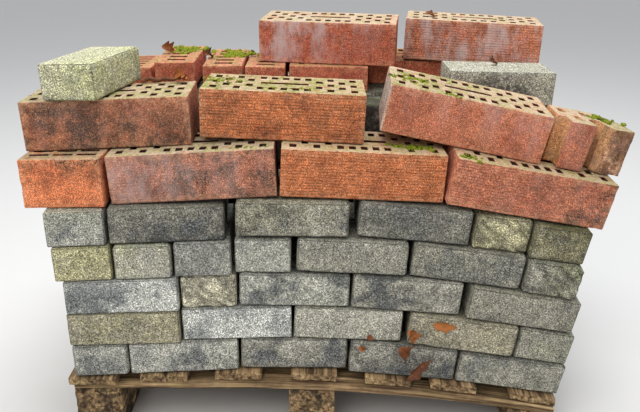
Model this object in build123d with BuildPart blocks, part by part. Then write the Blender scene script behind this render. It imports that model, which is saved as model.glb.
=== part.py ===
from build123d import *
import math
import os

os.makedirs("parts", exist_ok=True)

# Pallet, front edge towards the viewer at negative Y
pallet_front = -320.0
pallet_back = 330.0
deck_thickness = 18.0
cross_thickness = 18.0
block_height = 78.0
bottom_thickness = 18.0
board_width = 88.0
cross_width = 90.0
block_width = 88.0
block_depth = 90.0
deck_proud = 8.0
deck_centres = (-420.0, -290.0, -152.0, -10.0, 130.0, 254.0, 406.0)
support_centres = (-420.0, -14.0, 404.0)
deck_height = bottom_thickness + block_height + cross_thickness + deck_thickness

# The front right corner of the pallet has sunk
sag_corner = 62.0
sag_start = -150.0
sag_end = 460.0
sag_back = 350.0

# Concrete paver
paver_length = 200.0
paver_width = 100.0
paver_height = 64.5
paver_bevel = 4.0

# Large perforated brick
brick_length = 288.0
brick_width = 138.0
brick_height = 87.0
hole_length = 12.0
hole_depth = 20.0
hole_columns = 13
end_web = 14.4
side_web = 15.0
hole_pitch = (brick_length - hole_length - 2 * end_web) / (hole_columns - 1)
hole_row = (brick_width - hole_depth) / 2 - side_web
finger_length = 86.0
finger_depth = 14.0

# End-on brick with long slots
slot_length = 34.0
slot_depth = 11.0
slot_rows = 11
slot_end_web = 23.5
slot_side_web = 11.0
slot_pitch_across = (brick_width - slot_length) / 2 - slot_side_web
slot_pitch_along = (brick_length - slot_depth - 2 * slot_end_web) / (slot_rows - 1)

# Small brick of the rear row
small_length = 166.0
small_width = 83.0
small_height = 52.0
small_slot_length = 38.0
small_slot_width = 12.0
small_slots = 5
small_end_web = 19.0
small_slot_pitch = (small_length - small_slot_width - 2 * small_end_web) / (small_slots - 1)

# Thicker paver that lies loose on the right
kerb_length = 212.0
kerb_width = 110.0
kerb_height = 67.0

# Clearances
seat = 0.4
joint = 1.5
rear_joint = 4.5
core_margin = 4.0
core_lift = 5.0
rank_gap = 26.0
rear_gap = 55.0
rear_side_gap = 17.0
kerb_gap = 61.0

# How pieces are laid: turn of an end-on piece, levels that stand for a bevel, flat strips
# that stand for a twisted board, and the limits of the search for a rest
header_turn = 90.0
bevel_levels = 8
deck_strips = 16
far_spot = 10000.0
settle_limit = 200
touch = 0.001

# Front rows from the bottom course up: H shows its end, S shows its side
front_patterns = ("HSSSS", "SSSSH", "SHSSS", "HHHHSSH", "HSSSHH")
row_shifts = (2.0, 0.0, 2.0, -10.0, -16.0)
gap_lists = (
    (0.0, 1.5, 2.0, 1.5, 1.5),
    (0.0, 3.0, 2.0, 9.0, 1.5),
    (0.0, 3.0, 3.0, 2.0, 10.0),
    (0.0, 4.0, 4.0, 5.0, 8.0, 4.0, 1.5),
    (0.0, 5.0, 17.0, 13.0, 5.0, 3.0),
)
setback_lists = (
    (-3.0, 0.0, 5.0, 2.0, 3.0),
    (-3.0, 3.0, 8.0, 0.0, 4.0),
    (-3.0, 0.0, 3.0, 8.0, 3.0),
    (1.0, -3.0, 1.0, 6.0, 7.0, 12.0, 2.0),
    (4.0, 7.0, 6.0, 19.0, 17.0, 15.0),
)
turn_lists = (
    (4.4, 4.4, 2.2, 0.0, 0.0),
    (2.6, 2.6, 1.6, -1.5, -1.5),
    (3.7, 4.2, 1.8, 0.7, -0.4),
    (5.2, 5.0, 4.5, 1.3, 1.8, -2.2, -3.8),
    (5.5, 5.5, 2.8, -0.2, 0.2, 0.9),
)
front_y = -312.0
bow = 26.0
course_half = (4 * paver_length + paver_width + 4 * joint) / 2
rank_depth = max(paver_length, 2 * paver_width + joint)
rank_two_y = front_y + rank_depth + rank_gap
back_y = rank_two_y + 2 * (rank_depth + joint)

# Brick courses: gap to the brick on the left, setback and turn of each front face
lower_start = -506.5
upper_start = -510.0
lower_end_place = (0.0, 0.0, 0.0)
lower_side_places = ((8.0, 17.0, 2.0), (3.0, 27.0, 2.2), (1.0, 23.0, 2.2))
upper_places = ((0.0, 55.0, 3.1), (12.5, 66.0, 0.0))
tilted_place = (24.5, 63.0, -2.8)
lower_tilts = (None, -0.055, -0.19)
upper_tilt = -0.2

# Rear stack and what lies on it
rear_patterns = ("SSSS", "SHSSH")
small_end_centres = (-391.0, -301.0, -202.0, -115.0)
small_side_centres = (18.0, 190.0, 358.0)
small_setback = 82.0
small_side_setback = 98.0
rear_start = -131.0
rear_brick_places = ((0.0, 116.0, -7.6), (22.0, 147.0, -8.4))
left_loose_place = (-420.0, 37.0, -9.0)
kerb_x = 360.0

# Broken brick: what is left of it, seen from above
broken_length = 140.0
broken_width = 96.0
broken_setback = 54.0
broken_gap = 7.0
recess_width = 18.0
recess_depth = 30.0
rib_width = 46.0
cell_width = 36.0
cell_depth = 44.0
end_setback = 7.0


def deck_top(x, y):
    """Height of the sunken deck above the floor."""
    part_x = max(0.0, x - sag_start) / (sag_end - sag_start)
    part_y = (sag_back - y) / (sag_back - pallet_front)
    return deck_height - sag_corner * part_x**2 * part_y


def deck_slope(x, y):
    """Slopes of the deck towards +X and +Y."""
    step = 1.0
    slope_x = (deck_top(x + step, y) - deck_top(x - step, y)) / (2 * step)
    slope_y = (deck_top(x, y + step) - deck_top(x, y - step)) / (2 * step)
    return slope_x, slope_y


def bed(x, y, z, turn, slopes):
    """Plane of a brick's underside, turned about the vertical."""
    angle = math.radians(turn)
    ahead = (math.cos(angle), math.sin(angle))
    rise = slopes[0] * ahead[0] + slopes[1] * ahead[1]
    return Plane(origin=(x, y, z), x_dir=(ahead[0], ahead[1], rise), z_dir=(-slopes[0], -slopes[1], 1))


def outline(plane, size, inset, height):
    """Corners, in world coordinates, of a brick's flat face at a height above its underside."""
    half_x = size[0] / 2 - inset
    half_y = size[1] / 2 - inset
    corners = ((-half_x, -half_y), (half_x, -half_y), (half_x, half_y), (-half_x, half_y))
    return [tuple(plane.from_local_coords((x, y, height))) for x, y in corners]


class Laid:
    """A brick at rest: its underside plane and the levels of its top, bevel included."""

    def __init__(self, plane, size, slopes):
        drops = [paver_bevel * i / bevel_levels for i in range(bevel_levels + 1)] if size == paver else [0.0]
        self.plane = plane
        self.slopes = slopes
        self.tops = [outline(plane, size, drop, size[2] - drops[-1] + drop) for drop in drops]

    def height_at(self, corner, x, y):
        """Height at x, y of the level through a corner."""
        return corner[2] + self.slopes[0] * (x - corner[0]) + self.slopes[1] * (y - corner[1])


def shared_corners(face, window):
    """Corners in plan of the area that two flat faces share."""
    spots = [(x, y) for x, y, z in face]
    for (ax, ay, az), (bx, by, bz) in zip(window, window[1:] + window[:1]):
        sides = [(bx - ax) * (y - ay) - (by - ay) * (x - ax) for x, y in spots]
        kept = []
        for i, (x, y) in enumerate(spots):
            next_x, next_y = spots[(i + 1) % len(spots)]
            next_side = sides[(i + 1) % len(spots)]
            if sides[i] >= 0:
                kept.append((x, y))
            if sides[i] * next_side < 0:
                part = sides[i] / (sides[i] - next_side)
                kept.append((x + part * (next_x - x), y + part * (next_y - y)))
        spots = kept
        if not spots:
            break
    return spots


def plane_through(spots):
    """Height at the origin and slopes of the plane through three spots."""
    (ax, ay, az), (bx, by, bz), (cx, cy, cz) = spots
    twice_area = (bx - ax) * (cy - ay) - (by - ay) * (cx - ax)
    slope_x = ((bz - az) * (cy - ay) - (cz - az) * (by - ay)) / twice_area
    slope_y = ((cz - az) * (bx - ax) - (bz - az) * (cx - ax)) / twice_area
    return az - slope_x * ax - slope_y * ay, slope_x, slope_y


def holds_origin(spots):
    """True where three spots stand around the origin."""
    turns = [ax * by - ay * bx for (ax, ay, az), (bx, by, bz) in zip(spots, spots[1:] + spots[:1])]
    return min(turns) > 0 or max(turns) < 0


def settle(spots):
    """Slopes of a rigid plate that comes to rest on the spots, each an offset and a height."""
    held = [(-far_spot, -far_spot, 0.0), (far_spot, -far_spot, 0.0), (0.0, 2 * far_spot, 0.0)]
    for attempt in range(settle_limit):
        height, slope_x, slope_y = plane_through(held)
        rises = [z - height - slope_x * x - slope_y * y for x, y, z in spots]
        highest = max(rises)
        if highest < touch:
            break
        spot = spots[rises.index(highest)]
        for i in range(3):
            tried = held[:i] + [spot] + held[i + 1 :]
            if holds_origin(tried):
                held = tried
                break
    return slope_x, slope_y


def contacts(x, y, turn, size, below, slopes):
    """Offsets in plan where a brick can meet the pieces below, with their heights."""
    foot = outline(bed(x, y, 0.0, turn, slopes), size, 0.0, 0.0)
    spots = []
    for other in below:
        for top in other.tops:
            for spot_x, spot_y in shared_corners(foot, top):
                spots.append((spot_x - x, spot_y - y, other.height_at(top[0], spot_x, spot_y)))
    return spots


def rest(x, y, turn, size, below, slopes=None):
    """Lay one brick on the pieces below: at given slopes, or where it stands on three corners."""
    if slopes is None:
        slopes = settle(contacts(x, y, turn, size, below, deck_slope(x, y)))
    spots = contacts(x, y, turn, size, below, slopes)
    height = max(z - slopes[0] * off_x - slopes[1] * off_y for off_x, off_y, z in spots)
    return Laid(bed(x, y, height + seat, turn, slopes), size, slopes)


def facet(start, end, y, width):
    """Flat strip of a wooden top between two points in X and Z, around depth y."""
    run = end[0] - start[0]
    slope_x = (end[1] - start[1]) / run
    middle_x = (start[0] + end[0]) / 2
    slopes = (slope_x, deck_slope(middle_x, y)[1])
    plane = bed(middle_x, y, (start[1] + end[1]) / 2, 0.0, slopes)
    return Laid(plane, (run * math.hypot(1.0, slope_x), width, 0.0), slopes)


paver = (paver_length, paver_width, paver_height)
brick = (brick_length, brick_width, brick_height)
small = (small_length, small_width, small_height)
kerb = (kerb_length, kerb_width, kerb_height)


def front_line(x):
    """Front of the pile in plan: its left half swings forward."""
    return front_y - bow * (min(x, 0.0) / course_half) ** 2


def behind(x, y, turn, offset):
    """Spot at a distance behind the middle of a front face."""
    angle = math.radians(turn)
    return x - math.sin(angle) * offset, y + math.cos(angle) * offset


def row(pattern, start, gaps):
    """Centres and kinds of one row: H shows its end, S shows its side."""
    places = []
    x = start
    for kind, gap in zip(pattern, gaps):
        x += gap
        shown = paver_width if kind == "H" else paver_length
        places.append((x + shown / 2, kind))
        x += shown
    return places


def lay_paver(kind, x, y, turn, below, sunk):
    """One end-on paver, or a side-on paver with its twin behind it, sunk with the deck or free."""
    gap = joint if sunk else rear_joint
    offsets = (paver_length / 2,) if kind == "H" else (paver_width / 2, 1.5 * paver_width + gap)
    whole_turn = turn + header_turn if kind == "H" else turn
    laid = []
    for offset in offsets:
        spot_x, spot_y = behind(x, y, turn, offset)
        slopes = deck_slope(spot_x, spot_y) if sunk else None
        laid.append(rest(spot_x, spot_y, whole_turn, paver, below, slopes))
    return laid


def lay_course(number, below):
    """One course: the front row, the back row and the pieces between them at both sides."""
    pattern = front_patterns[number]
    places = row(pattern, row_shifts[number] - course_half, gap_lists[number])
    laid = []
    for (x, kind), setback, turn in zip(places, setback_lists[number], turn_lists[number]):
        laid += lay_paver(kind, x, front_line(x) + setback, turn, below, True)
    for x, kind in places:
        laid += lay_paver(kind, -x, back_y - rank_depth, 0.0, below, True)
    shown = paver_width if pattern[0] == "H" else paver_length
    for side in (-1, 1):
        laid += lay_paver(pattern[0], side * (course_half - shown / 2), rank_two_y, 0.0, below, True)
    return laid


def board_edges():
    """Left and right edges of the deck boards, from left to right."""
    edges = []
    for x in deck_centres:
        edges += [x - board_width / 2, x + board_width / 2]
    return edges


def export_laid(shape, places, name):
    """One node with a copy of the shape at each place."""
    with BuildPart() as node:
        with Locations(*[place.plane for place in places]):
            add(shape.part)
    node.part.label = name
    export_step(node.part, f"parts/{name}.step")


# Cross boards under the deck, bent like it
cross_ys = (
    pallet_front + cross_width / 2,
    (pallet_front + pallet_back) / 2,
    pallet_back - cross_width / 2,
)
with BuildPart() as cross_boards:
    for y in cross_ys:
        for end_y in (y - cross_width / 2, y + cross_width / 2):
            upper = [(x, deck_top(x, end_y) - deck_thickness - 2 * seat) for x in board_edges()]
            lower = [(x, z - cross_thickness) for x, z in upper]
            with BuildSketch(Plane.XZ.offset(-end_y)):
                with BuildLine():
                    Polyline(*upper, *lower[::-1], close=True)
                make_face()
        loft(ruled=True)
cross_boards.part.label = "cross_boards"
export_step(cross_boards.part, "parts/cross_boards.step")

# Blocks between the cross boards and the bottom boards
with BuildPart() as blocks:
    for y in cross_ys:
        for x in support_centres:
            left = x - block_width / 2
            right = x + block_width / 2
            under = deck_thickness + cross_thickness + 4 * seat
            low = bottom_thickness + seat
            for end_y in (y - block_depth / 2, y + block_depth / 2):
                with BuildSketch(Plane.XZ.offset(-end_y)):
                    with BuildLine():
                        Polyline(
                            (left, low),
                            (right, low),
                            (right, deck_top(right, end_y) - under),
                            (left, deck_top(left, end_y) - under),
                            close=True,
                        )
                    make_face()
            loft(ruled=True)
blocks.part.label = "blocks"
export_step(blocks.part, "parts/blocks.step")

# Bottom boards on the floor
with BuildPart() as bottom_boards:
    for x in support_centres:
        with BuildSketch(Plane.XY):
            with Locations((x, (pallet_front + pallet_back) / 2)):
                Rectangle(board_width, pallet_back - pallet_front)
        extrude(amount=bottom_thickness)
bottom_boards.part.label = "bottom_boards"
export_step(bottom_boards.part, "parts/bottom_boards.step")

# Deck boards run front to back, twisted by the sag, their front ends a little proud of the pile
deck_tops = []
with BuildPart() as deck_boards:
    for x in deck_centres:
        left = x - board_width / 2
        right = x + board_width / 2
        front_end = front_line(x) - deck_proud
        for end_y in (front_end, pallet_back):
            with BuildSketch(Plane.XZ.offset(-end_y)):
                with BuildLine():
                    Polyline(
                        (left, deck_top(left, end_y) - deck_thickness),
                        (right, deck_top(right, end_y) - deck_thickness),
                        (right, deck_top(right, end_y)),
                        (left, deck_top(left, end_y)),
                        close=True,
                    )
                make_face()
        loft(ruled=True)
        strip = (pallet_back - front_end) / deck_strips
        for i in range(deck_strips):
            y = front_end + (i + 0.5) * strip
            deck_tops.append(facet((left, deck_top(left, y)), (right, deck_top(right, y)), y, strip))
deck_boards.part.label = "deck_boards"
export_step(deck_boards.part, "parts/deck_boards.step")

with BuildPart() as paver_shape:
    with BuildSketch(Plane.XY):
        Rectangle(paver_length, paver_width)
    extrude(amount=paver_height)
    chamfer(paver_shape.faces().sort_by(Axis.Z)[-1].edges(), paver_bevel)

courses = []
below = deck_tops
for number in range(len(front_patterns)):
    below = lay_course(number, below)
    courses.append(below)
    export_laid(paver_shape, below, f"paver_course_{number + 1}")

# Plain core that stands in for the hidden middle of the five courses
core_half = course_half - paver_length - core_margin
core_front = rank_two_y
core_back = back_y - rank_depth - core_margin
core_rise = len(courses) * (paver_height + seat)
core_steps = 5
core_spots = [core_half * (2 * i / core_steps - 1) for i in range(core_steps + 1)]
core_low = [(x, deck_top(x, core_back) + core_lift) for x in core_spots]
core_high = [(x, deck_top(x, core_front) + core_rise) for x in core_spots]
with BuildPart() as stack_core:
    with BuildSketch(Plane.XZ.offset(-core_back)):
        with BuildLine():
            Polyline(*core_low, *core_high[::-1], close=True)
        make_face()
    extrude(amount=core_back - core_front)
stack_core.part.label = "stack_core"
export_step(stack_core.part, "parts/stack_core.step")
core_middle = (core_front + core_back) / 2
core_depth = core_back - core_front
core_tops = [facet(start, end, core_middle, core_depth) for start, end in zip(core_high, core_high[1:])]

# Large brick: three, two or two-and-a-slot holes to a column
three_hole_columns = (0, 2, 10, 12)
two_hole_columns = (1, 3, 9, 11)
three_rows = []
two_rows = []
outer_rows = []
for column in range(hole_columns):
    across = (column - (hole_columns - 1) / 2) * hole_pitch
    if column in three_hole_columns:
        three_rows += [(across, -hole_row), (across, 0.0), (across, hole_row)]
    elif column in two_hole_columns:
        two_rows += [(across, -hole_row / 2), (across, hole_row / 2)]
    else:
        outer_rows += [(across, -hole_row), (across, hole_row)]

with BuildPart() as brick_shape:
    with BuildSketch(Plane.XY):
        Rectangle(brick_length, brick_width)
        with Locations(*three_rows, *two_rows, *outer_rows):
            Rectangle(hole_length, hole_depth, mode=Mode.SUBTRACT)
        Rectangle(finger_length, finger_depth, mode=Mode.SUBTRACT)
    extrude(amount=brick_height)

with BuildPart() as slotted_shape:
    with BuildSketch(Plane.XY):
        Rectangle(brick_length, brick_width)
        with GridLocations(slot_pitch_along, slot_pitch_across, slot_rows, 3):
            Rectangle(slot_depth, slot_length, mode=Mode.SUBTRACT)
    extrude(amount=brick_height)

with BuildPart() as small_shape:
    with BuildSketch(Plane.XY):
        Rectangle(small_length, small_width)
        with GridLocations(small_slot_pitch, small_width, small_slots, 1):
            Rectangle(small_slot_width, small_slot_length, mode=Mode.SUBTRACT)
    extrude(amount=small_height)

# Lower brick course: one end-on brick and three side-on bricks
top_course = courses[-1]
gap, end_setback_y, end_turn = lower_end_place
end_x = lower_start + gap + brick_width / 2
end_front_y = front_y + end_setback_y
spot_x, spot_y = behind(end_x, end_front_y, end_turn, brick_length / 2)
end_brick = rest(spot_x, spot_y, end_turn + header_turn, brick, top_course)
export_laid(slotted_shape, [end_brick], "end_on_brick")

lower_bricks = [end_brick]
right_end = end_x + brick_width / 2
for (gap, setback, turn), tilt in zip(lower_side_places, lower_tilts):
    x = right_end + gap + brick_length / 2
    right_end = x + brick_length / 2
    spot_x, spot_y = behind(x, front_y + setback, turn, brick_width / 2)
    slopes = None if tilt is None else (tilt, deck_slope(spot_x, spot_y)[1])
    lower_bricks.append(rest(spot_x, spot_y, turn, brick, top_course, slopes))
export_laid(brick_shape, lower_bricks[1:], "lower_brick_course")

# Upper brick course: two side-on bricks and a tilted brick
upper_bricks = []
right_end = upper_start
for gap, setback, turn in upper_places:
    x = right_end + gap + brick_length / 2
    right_end = x + brick_length / 2
    spot_x, spot_y = behind(x, front_y + setback, turn, brick_width / 2)
    upper_bricks.append(rest(spot_x, spot_y, turn, brick, lower_bricks))
export_laid(brick_shape, upper_bricks, "upper_brick_course")

gap, tilted_setback, tilted_turn = tilted_place
tilted_x = right_end + gap + brick_length / 2
tilted_front_y = front_y + tilted_setback
spot_x, spot_y = behind(tilted_x, tilted_front_y, tilted_turn, brick_width / 2)
upper_slopes = (upper_tilt, lower_bricks[-1].slopes[1])
tilted = rest(spot_x, spot_y, tilted_turn, brick, lower_bricks, upper_slopes)
export_laid(brick_shape, [tilted], "tilted_brick")

# Broken brick: a rib stands between a recess and a burst cell, the far end is split off
left = -broken_length / 2
front = -broken_width / 2
rib_left = left + recess_width
rib_right = rib_left + rib_width
cell_right = rib_right + cell_width
cell_front = front + end_setback
with BuildPart() as broken_shape:
    with BuildSketch(Plane.XY):
        with BuildLine():
            Line((left, -front), (left, front + recess_depth))
            Line((left, front + recess_depth), (rib_left - joint, front + recess_depth))
            Line((rib_left - joint, front + recess_depth), (rib_left, front))
            Line((rib_left, front), (rib_right, front))
            Line((rib_right, front), (rib_right - joint, front + cell_depth / 2))
            ThreePointArc(
                (rib_right - joint, front + cell_depth / 2),
                (rib_right + cell_width / 4, front + cell_depth),
                (rib_right + cell_width / 2, front + cell_depth / 2),
            )
            Line((rib_right + cell_width / 2, front + cell_depth / 2), (cell_right, cell_front))
            Line((cell_right, cell_front), (-left, front + 2 * end_setback))
            Line((-left, front + 2 * end_setback), (-left - end_setback, 0.0))
            Line((-left - end_setback, 0.0), (cell_right, -front))
            Line((cell_right, -front), (left, -front))
        make_face()
        with Locations((rib_left, hole_row / 2), (rib_left + hole_pitch, -hole_row / 4)):
            Rectangle(hole_length, hole_depth, mode=Mode.SUBTRACT)
        with Locations((rib_left + 2 * hole_pitch, hole_row / 2), (rib_left + 4 * hole_pitch, hole_row / 2)):
            Rectangle(hole_length, hole_depth, mode=Mode.SUBTRACT)
    extrude(amount=brick_height)
broken_size = (broken_length, broken_width, brick_height)
broken_x = tilted_x + brick_length / 2 + broken_gap + broken_length / 2
broken_y = front_y + broken_setback + broken_width / 2
broken = rest(broken_x, broken_y, 0.0, broken_size, lower_bricks, upper_slopes)
export_laid(broken_shape, [broken], "broken_brick")

# Rear stack: two courses, each two ranks deep with one end-on paver behind the end-on brick
rear_front_y = tilted_front_y + brick_width + rear_gap
rear_left_x = end_x + brick_width / 2 + rear_side_gap
corner_x = paver_width / 2 - course_half
corner_y = end_front_y + brick_length + rear_gap
below = top_course + core_tops
for number, pattern in enumerate(rear_patterns, start=len(courses) + 1):
    laid = lay_paver("H", corner_x, corner_y, 0.0, below, False)
    for x, kind in row(pattern, rear_left_x, (rear_joint,) * len(pattern)):
        laid += lay_paver(kind, x, rear_front_y, 0.0, below, False)
    for x, kind in row(rear_patterns[0], rear_left_x, (rear_joint,) * len(rear_patterns[0])):
        spot_y = rear_front_y + 2.5 * paver_width + 2 * rear_joint
        laid.append(rest(x, spot_y, 0.0, paver, below))
    export_laid(paver_shape, laid, f"rear_course_{number}")
    below = laid
rear_top = below

# Rear row of small bricks and the two large bricks on it
small_bricks = []
for x in small_end_centres:
    spot_y = rear_front_y + small_setback + small_length / 2
    small_bricks.append(rest(x, spot_y, header_turn, small, rear_top))
kerb_y = tilted_front_y + brick_width + kerb_gap + kerb_width / 2
for x in small_side_centres:
    side_y = rear_front_y + small_side_setback
    if abs(x - kerb_x) < (small_length + kerb_length) / 2:
        side_y = kerb_y + kerb_width / 2 + kerb_gap
    for offset in (small_width / 2, 1.5 * small_width + joint):
        small_bricks.append(rest(x, side_y + offset, 0.0, small, rear_top))
export_laid(small_shape, small_bricks, "rear_small_bricks")

rear_bricks = []
right_end = rear_start
for gap, setback, turn in rear_brick_places:
    x = right_end + gap + brick_length / 2
    right_end = x + brick_length / 2
    spot_x, spot_y = behind(x, rear_front_y + setback, turn, brick_width / 2)
    rear_bricks.append(rest(spot_x, spot_y, turn, brick, small_bricks))
export_laid(brick_shape, rear_bricks, "rear_top_bricks")

# Two loose pavers
x, setback, turn = left_loose_place
spot_x, spot_y = behind(x, front_y + setback, turn, paver_length / 2)
left_loose = rest(spot_x, spot_y, turn + header_turn, paver, upper_bricks)
export_laid(paver_shape, [left_loose], "loose_paver_left")

with BuildPart() as kerb_shape:
    with BuildSketch(Plane.XY):
        Rectangle(kerb_length, kerb_width)
    extrude(amount=kerb_height)
    chamfer(kerb_shape.faces().sort_by(Axis.Z)[-1].edges(), paver_bevel)
right_loose = rest(kerb_x, kerb_y, 0.0, kerb, rear_top)
export_laid(kerb_shape, [right_loose], "loose_paver_right")
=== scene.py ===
"""Looks of the pallet of bricks: concrete pavers, perforated clay bricks and a weathered timber pallet."""

import logging
import math
from dataclasses import dataclass, field, replace
from enum import Enum

import bpy
import numpy as np
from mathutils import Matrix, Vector


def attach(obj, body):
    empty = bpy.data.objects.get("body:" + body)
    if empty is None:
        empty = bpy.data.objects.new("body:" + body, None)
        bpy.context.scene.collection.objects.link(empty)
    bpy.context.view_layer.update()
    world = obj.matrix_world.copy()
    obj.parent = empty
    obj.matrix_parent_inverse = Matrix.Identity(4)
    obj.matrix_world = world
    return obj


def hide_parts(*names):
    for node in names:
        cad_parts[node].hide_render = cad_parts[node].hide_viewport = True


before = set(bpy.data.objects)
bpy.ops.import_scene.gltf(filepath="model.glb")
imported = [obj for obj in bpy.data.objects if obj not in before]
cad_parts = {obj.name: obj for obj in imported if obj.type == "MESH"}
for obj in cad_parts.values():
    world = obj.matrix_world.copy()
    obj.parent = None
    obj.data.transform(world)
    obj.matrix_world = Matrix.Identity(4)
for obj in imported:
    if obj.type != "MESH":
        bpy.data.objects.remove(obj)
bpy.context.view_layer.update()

log = logging.getLogger("pallet")
Array = np.ndarray
Colour = tuple[float, float, float]
Hole = tuple[float, float, float, float]
Socket = bpy.types.NodeSocket
MM = 0.001
WELD_CAD = 0.02 * MM
WELD_GRID = 0.01 * MM
FRONT_LIMIT = -0.265

HASH_STEPS = (374761393, 668265263, 974634777)
HASH_SEED = 144665
HASH_MIX = 1274126177
WORD = 0xFFFFFFFF
LEVELS = 0xFFFFFF


def linear(red: int, green: int, blue: int) -> Colour:
    """Linear colour of a screen colour given in 0 to 255."""
    channels = [value / 255.0 for value in (red, green, blue)]
    return tuple(c / 12.92 if c <= 0.04045 else ((c + 0.055) / 1.055) ** 2.4 for c in channels)


def value_noise(points: Array, seed: int) -> Array:
    """Smooth lattice noise.

    Args:
        points: Positions, one row each, in lattice units.
        seed: Number that picks the pattern.

    Returns:
        One value per point, from -1 to 1.
    """
    cell = np.floor(points).astype(np.int64)
    part = points - cell
    part = part * part * (3.0 - 2.0 * part)
    total = np.zeros(len(points))
    for corner in range(8):
        offset = np.array([corner & 1, corner >> 1 & 1, corner >> 2 & 1])
        mixed = ((cell + offset) @ np.array(HASH_STEPS) + seed * HASH_SEED) & WORD
        mixed = ((mixed ^ (mixed >> 13)) * HASH_MIX) & WORD
        level = ((mixed ^ (mixed >> 16)) & LEVELS) / LEVELS
        weight = np.prod(np.where(offset == 1, part, 1.0 - part), axis=1)
        total += level * weight
    return total * 2.0 - 1.0


def fractal(points: Array, seed: int, octaves: int = 3) -> Array:
    """Sum of noise octaves, each half as strong and twice as fine as the last.

    Args:
        points: Positions, one row each, in units of the coarsest octave.
        seed: Number that picks the pattern.
        octaves: How many there are.

    Returns:
        One value per point, from -1 to 1.
    """
    total = np.zeros(len(points))
    strength = 1.0
    for octave in range(octaves):
        total += strength * value_noise(points * 2.0**octave, seed + octave * 17)
        strength *= 0.5
    return total / (2.0 - 2.0 ** (1 - octaves))


def welded(points: Array, size: float) -> tuple[Array, Array]:
    """Points with doubles joined.

    Args:
        points: Positions, one row each.
        size: Size of the cells in which all points count as one.

    Returns:
        Which points stay, and for each point its place among them.
    """
    cells = np.round(points / size).astype(np.int64)
    kept, place = np.unique(cells, axis=0, return_index=True, return_inverse=True)[1:]
    return kept, place.reshape(-1)


@dataclass
class Block:
    """One CAD solid read from a node: its welded corners, its box frame and its size.

    Args:
        corners: Welded vertices in the shared frame.
        origin: Middle of the box.
        axes: Unit vectors of length, width and height, one row each.
        size: Length, width and height.
    """

    corners: Array
    origin: Array
    axes: Array
    size: Array

    def to_world(self, points: Array) -> Array:
        """Shared-frame positions of points given in the box frame."""
        return self.origin + points @ self.axes

    def to_box(self, points: Array) -> Array:
        """Box-frame positions of shared-frame points."""
        return (points - self.origin) @ self.axes.T

    def spread(self, points: Array) -> tuple[Array, Array]:
        """Where points lie on the face that the viewer sees.

        Args:
            points: Points in the box frame.

        Returns:
            How far right and how far up, each from -1 to 1.
        """
        side = 0 if abs(self.axes[0, 0]) > abs(self.axes[1, 0]) else 1
        right = points[:, side] * np.sign(self.axes[side, 0]) / (self.size[side] / 2)
        return right, points[:, 2] / (self.size[2] / 2)


def node_arrays(name: str) -> tuple[Array, Array]:
    """Vertices and triangles of a CAD node.

    Args:
        name: Name of the node.

    Returns:
        Its welded vertices and its triangles.
    """
    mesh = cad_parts[name].data
    mesh.calc_loop_triangles()
    vertices = np.empty(len(mesh.vertices) * 3)
    mesh.vertices.foreach_get("co", vertices)
    triangles = np.empty(len(mesh.loop_triangles) * 3, dtype=np.int64)
    mesh.loop_triangles.foreach_get("vertices", triangles)
    vertices = vertices.reshape(-1, 3)
    kept, place = welded(vertices, WELD_CAD)
    return vertices[kept], place[triangles].reshape(-1, 3)


def islands(name: str) -> list[tuple[Array, Array]]:
    """Separate solids of a CAD node.

    Args:
        name: Name of the node.

    Returns:
        Vertices and triangles of each.
    """
    vertices, triangles = node_arrays(name)
    label = np.arange(len(vertices))
    while True:
        lowest = label[triangles].min(axis=1)
        updated = label.copy()
        for side in range(3):
            np.minimum.at(updated, triangles[:, side], lowest)
        if np.array_equal(updated, label):
            break
        label = updated
    found = []
    for mark in np.unique(label):
        used = np.flatnonzero(label == mark)
        place = np.full(len(vertices), -1)
        place[used] = np.arange(len(used))
        faces = triangles[label[triangles[:, 0]] == mark]
        found.append((vertices[used], place[faces]))
    return found


def box_of(vertices: Array, triangles: Array) -> Block:
    """Box frame of a brick-like solid, from its flat faces.

    Args:
        vertices: Vertices of the solid.
        triangles: Its triangles.

    Returns:
        The block, its length axis pointing right or, if turned end-on, away from the viewer.
    """
    a, b, c = (vertices[triangles[:, side]] for side in range(3))
    cross = np.cross(b - a, c - a)
    area = np.linalg.norm(cross, axis=1)
    normals = cross / np.maximum(area, 1e-12)[:, None]
    up = normals[np.argmax(np.where(normals[:, 2] > 0.8, area, 0.0))]
    upward = (normals @ up) > 0.999
    up = (normals[upward] * area[upward, None]).sum(axis=0)
    up /= np.linalg.norm(up)
    level = np.abs(normals @ up) < 0.02
    side = normals[level][np.argmax(area[level])]
    side = side - up * (side @ up)
    side /= np.linalg.norm(side)
    other = np.cross(up, side)
    ahead = side if np.ptp(vertices @ side) > np.ptp(vertices @ other) else other
    lead = ahead[0] if abs(ahead[0]) > abs(ahead[1]) else ahead[1]
    ahead = ahead * np.sign(lead)
    axes = np.array([ahead, np.cross(up, ahead), up])
    spans = vertices @ axes.T
    middle = (spans.max(axis=0) + spans.min(axis=0)) / 2
    return Block(vertices, middle @ axes, axes, np.ptp(spans, axis=0))


def edge_lines(span: float, near: tuple[float, ...], step: float) -> Array:
    """Grid lines across a span, dense near both ends.

    Args:
        span: Whole length, centred on zero.
        near: Distances from each end that get a line.
        step: Largest spacing of the lines between.

    Returns:
        Sorted positions.
    """
    inner = span / 2 - near[-1]
    count = max(1, int(math.ceil(2 * inner / step)))
    middle = np.linspace(-inner, inner, count + 1)
    ends = span / 2 - np.array((0.0, *near[:-1]))
    return np.concatenate([-ends, middle, ends[::-1]])


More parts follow.
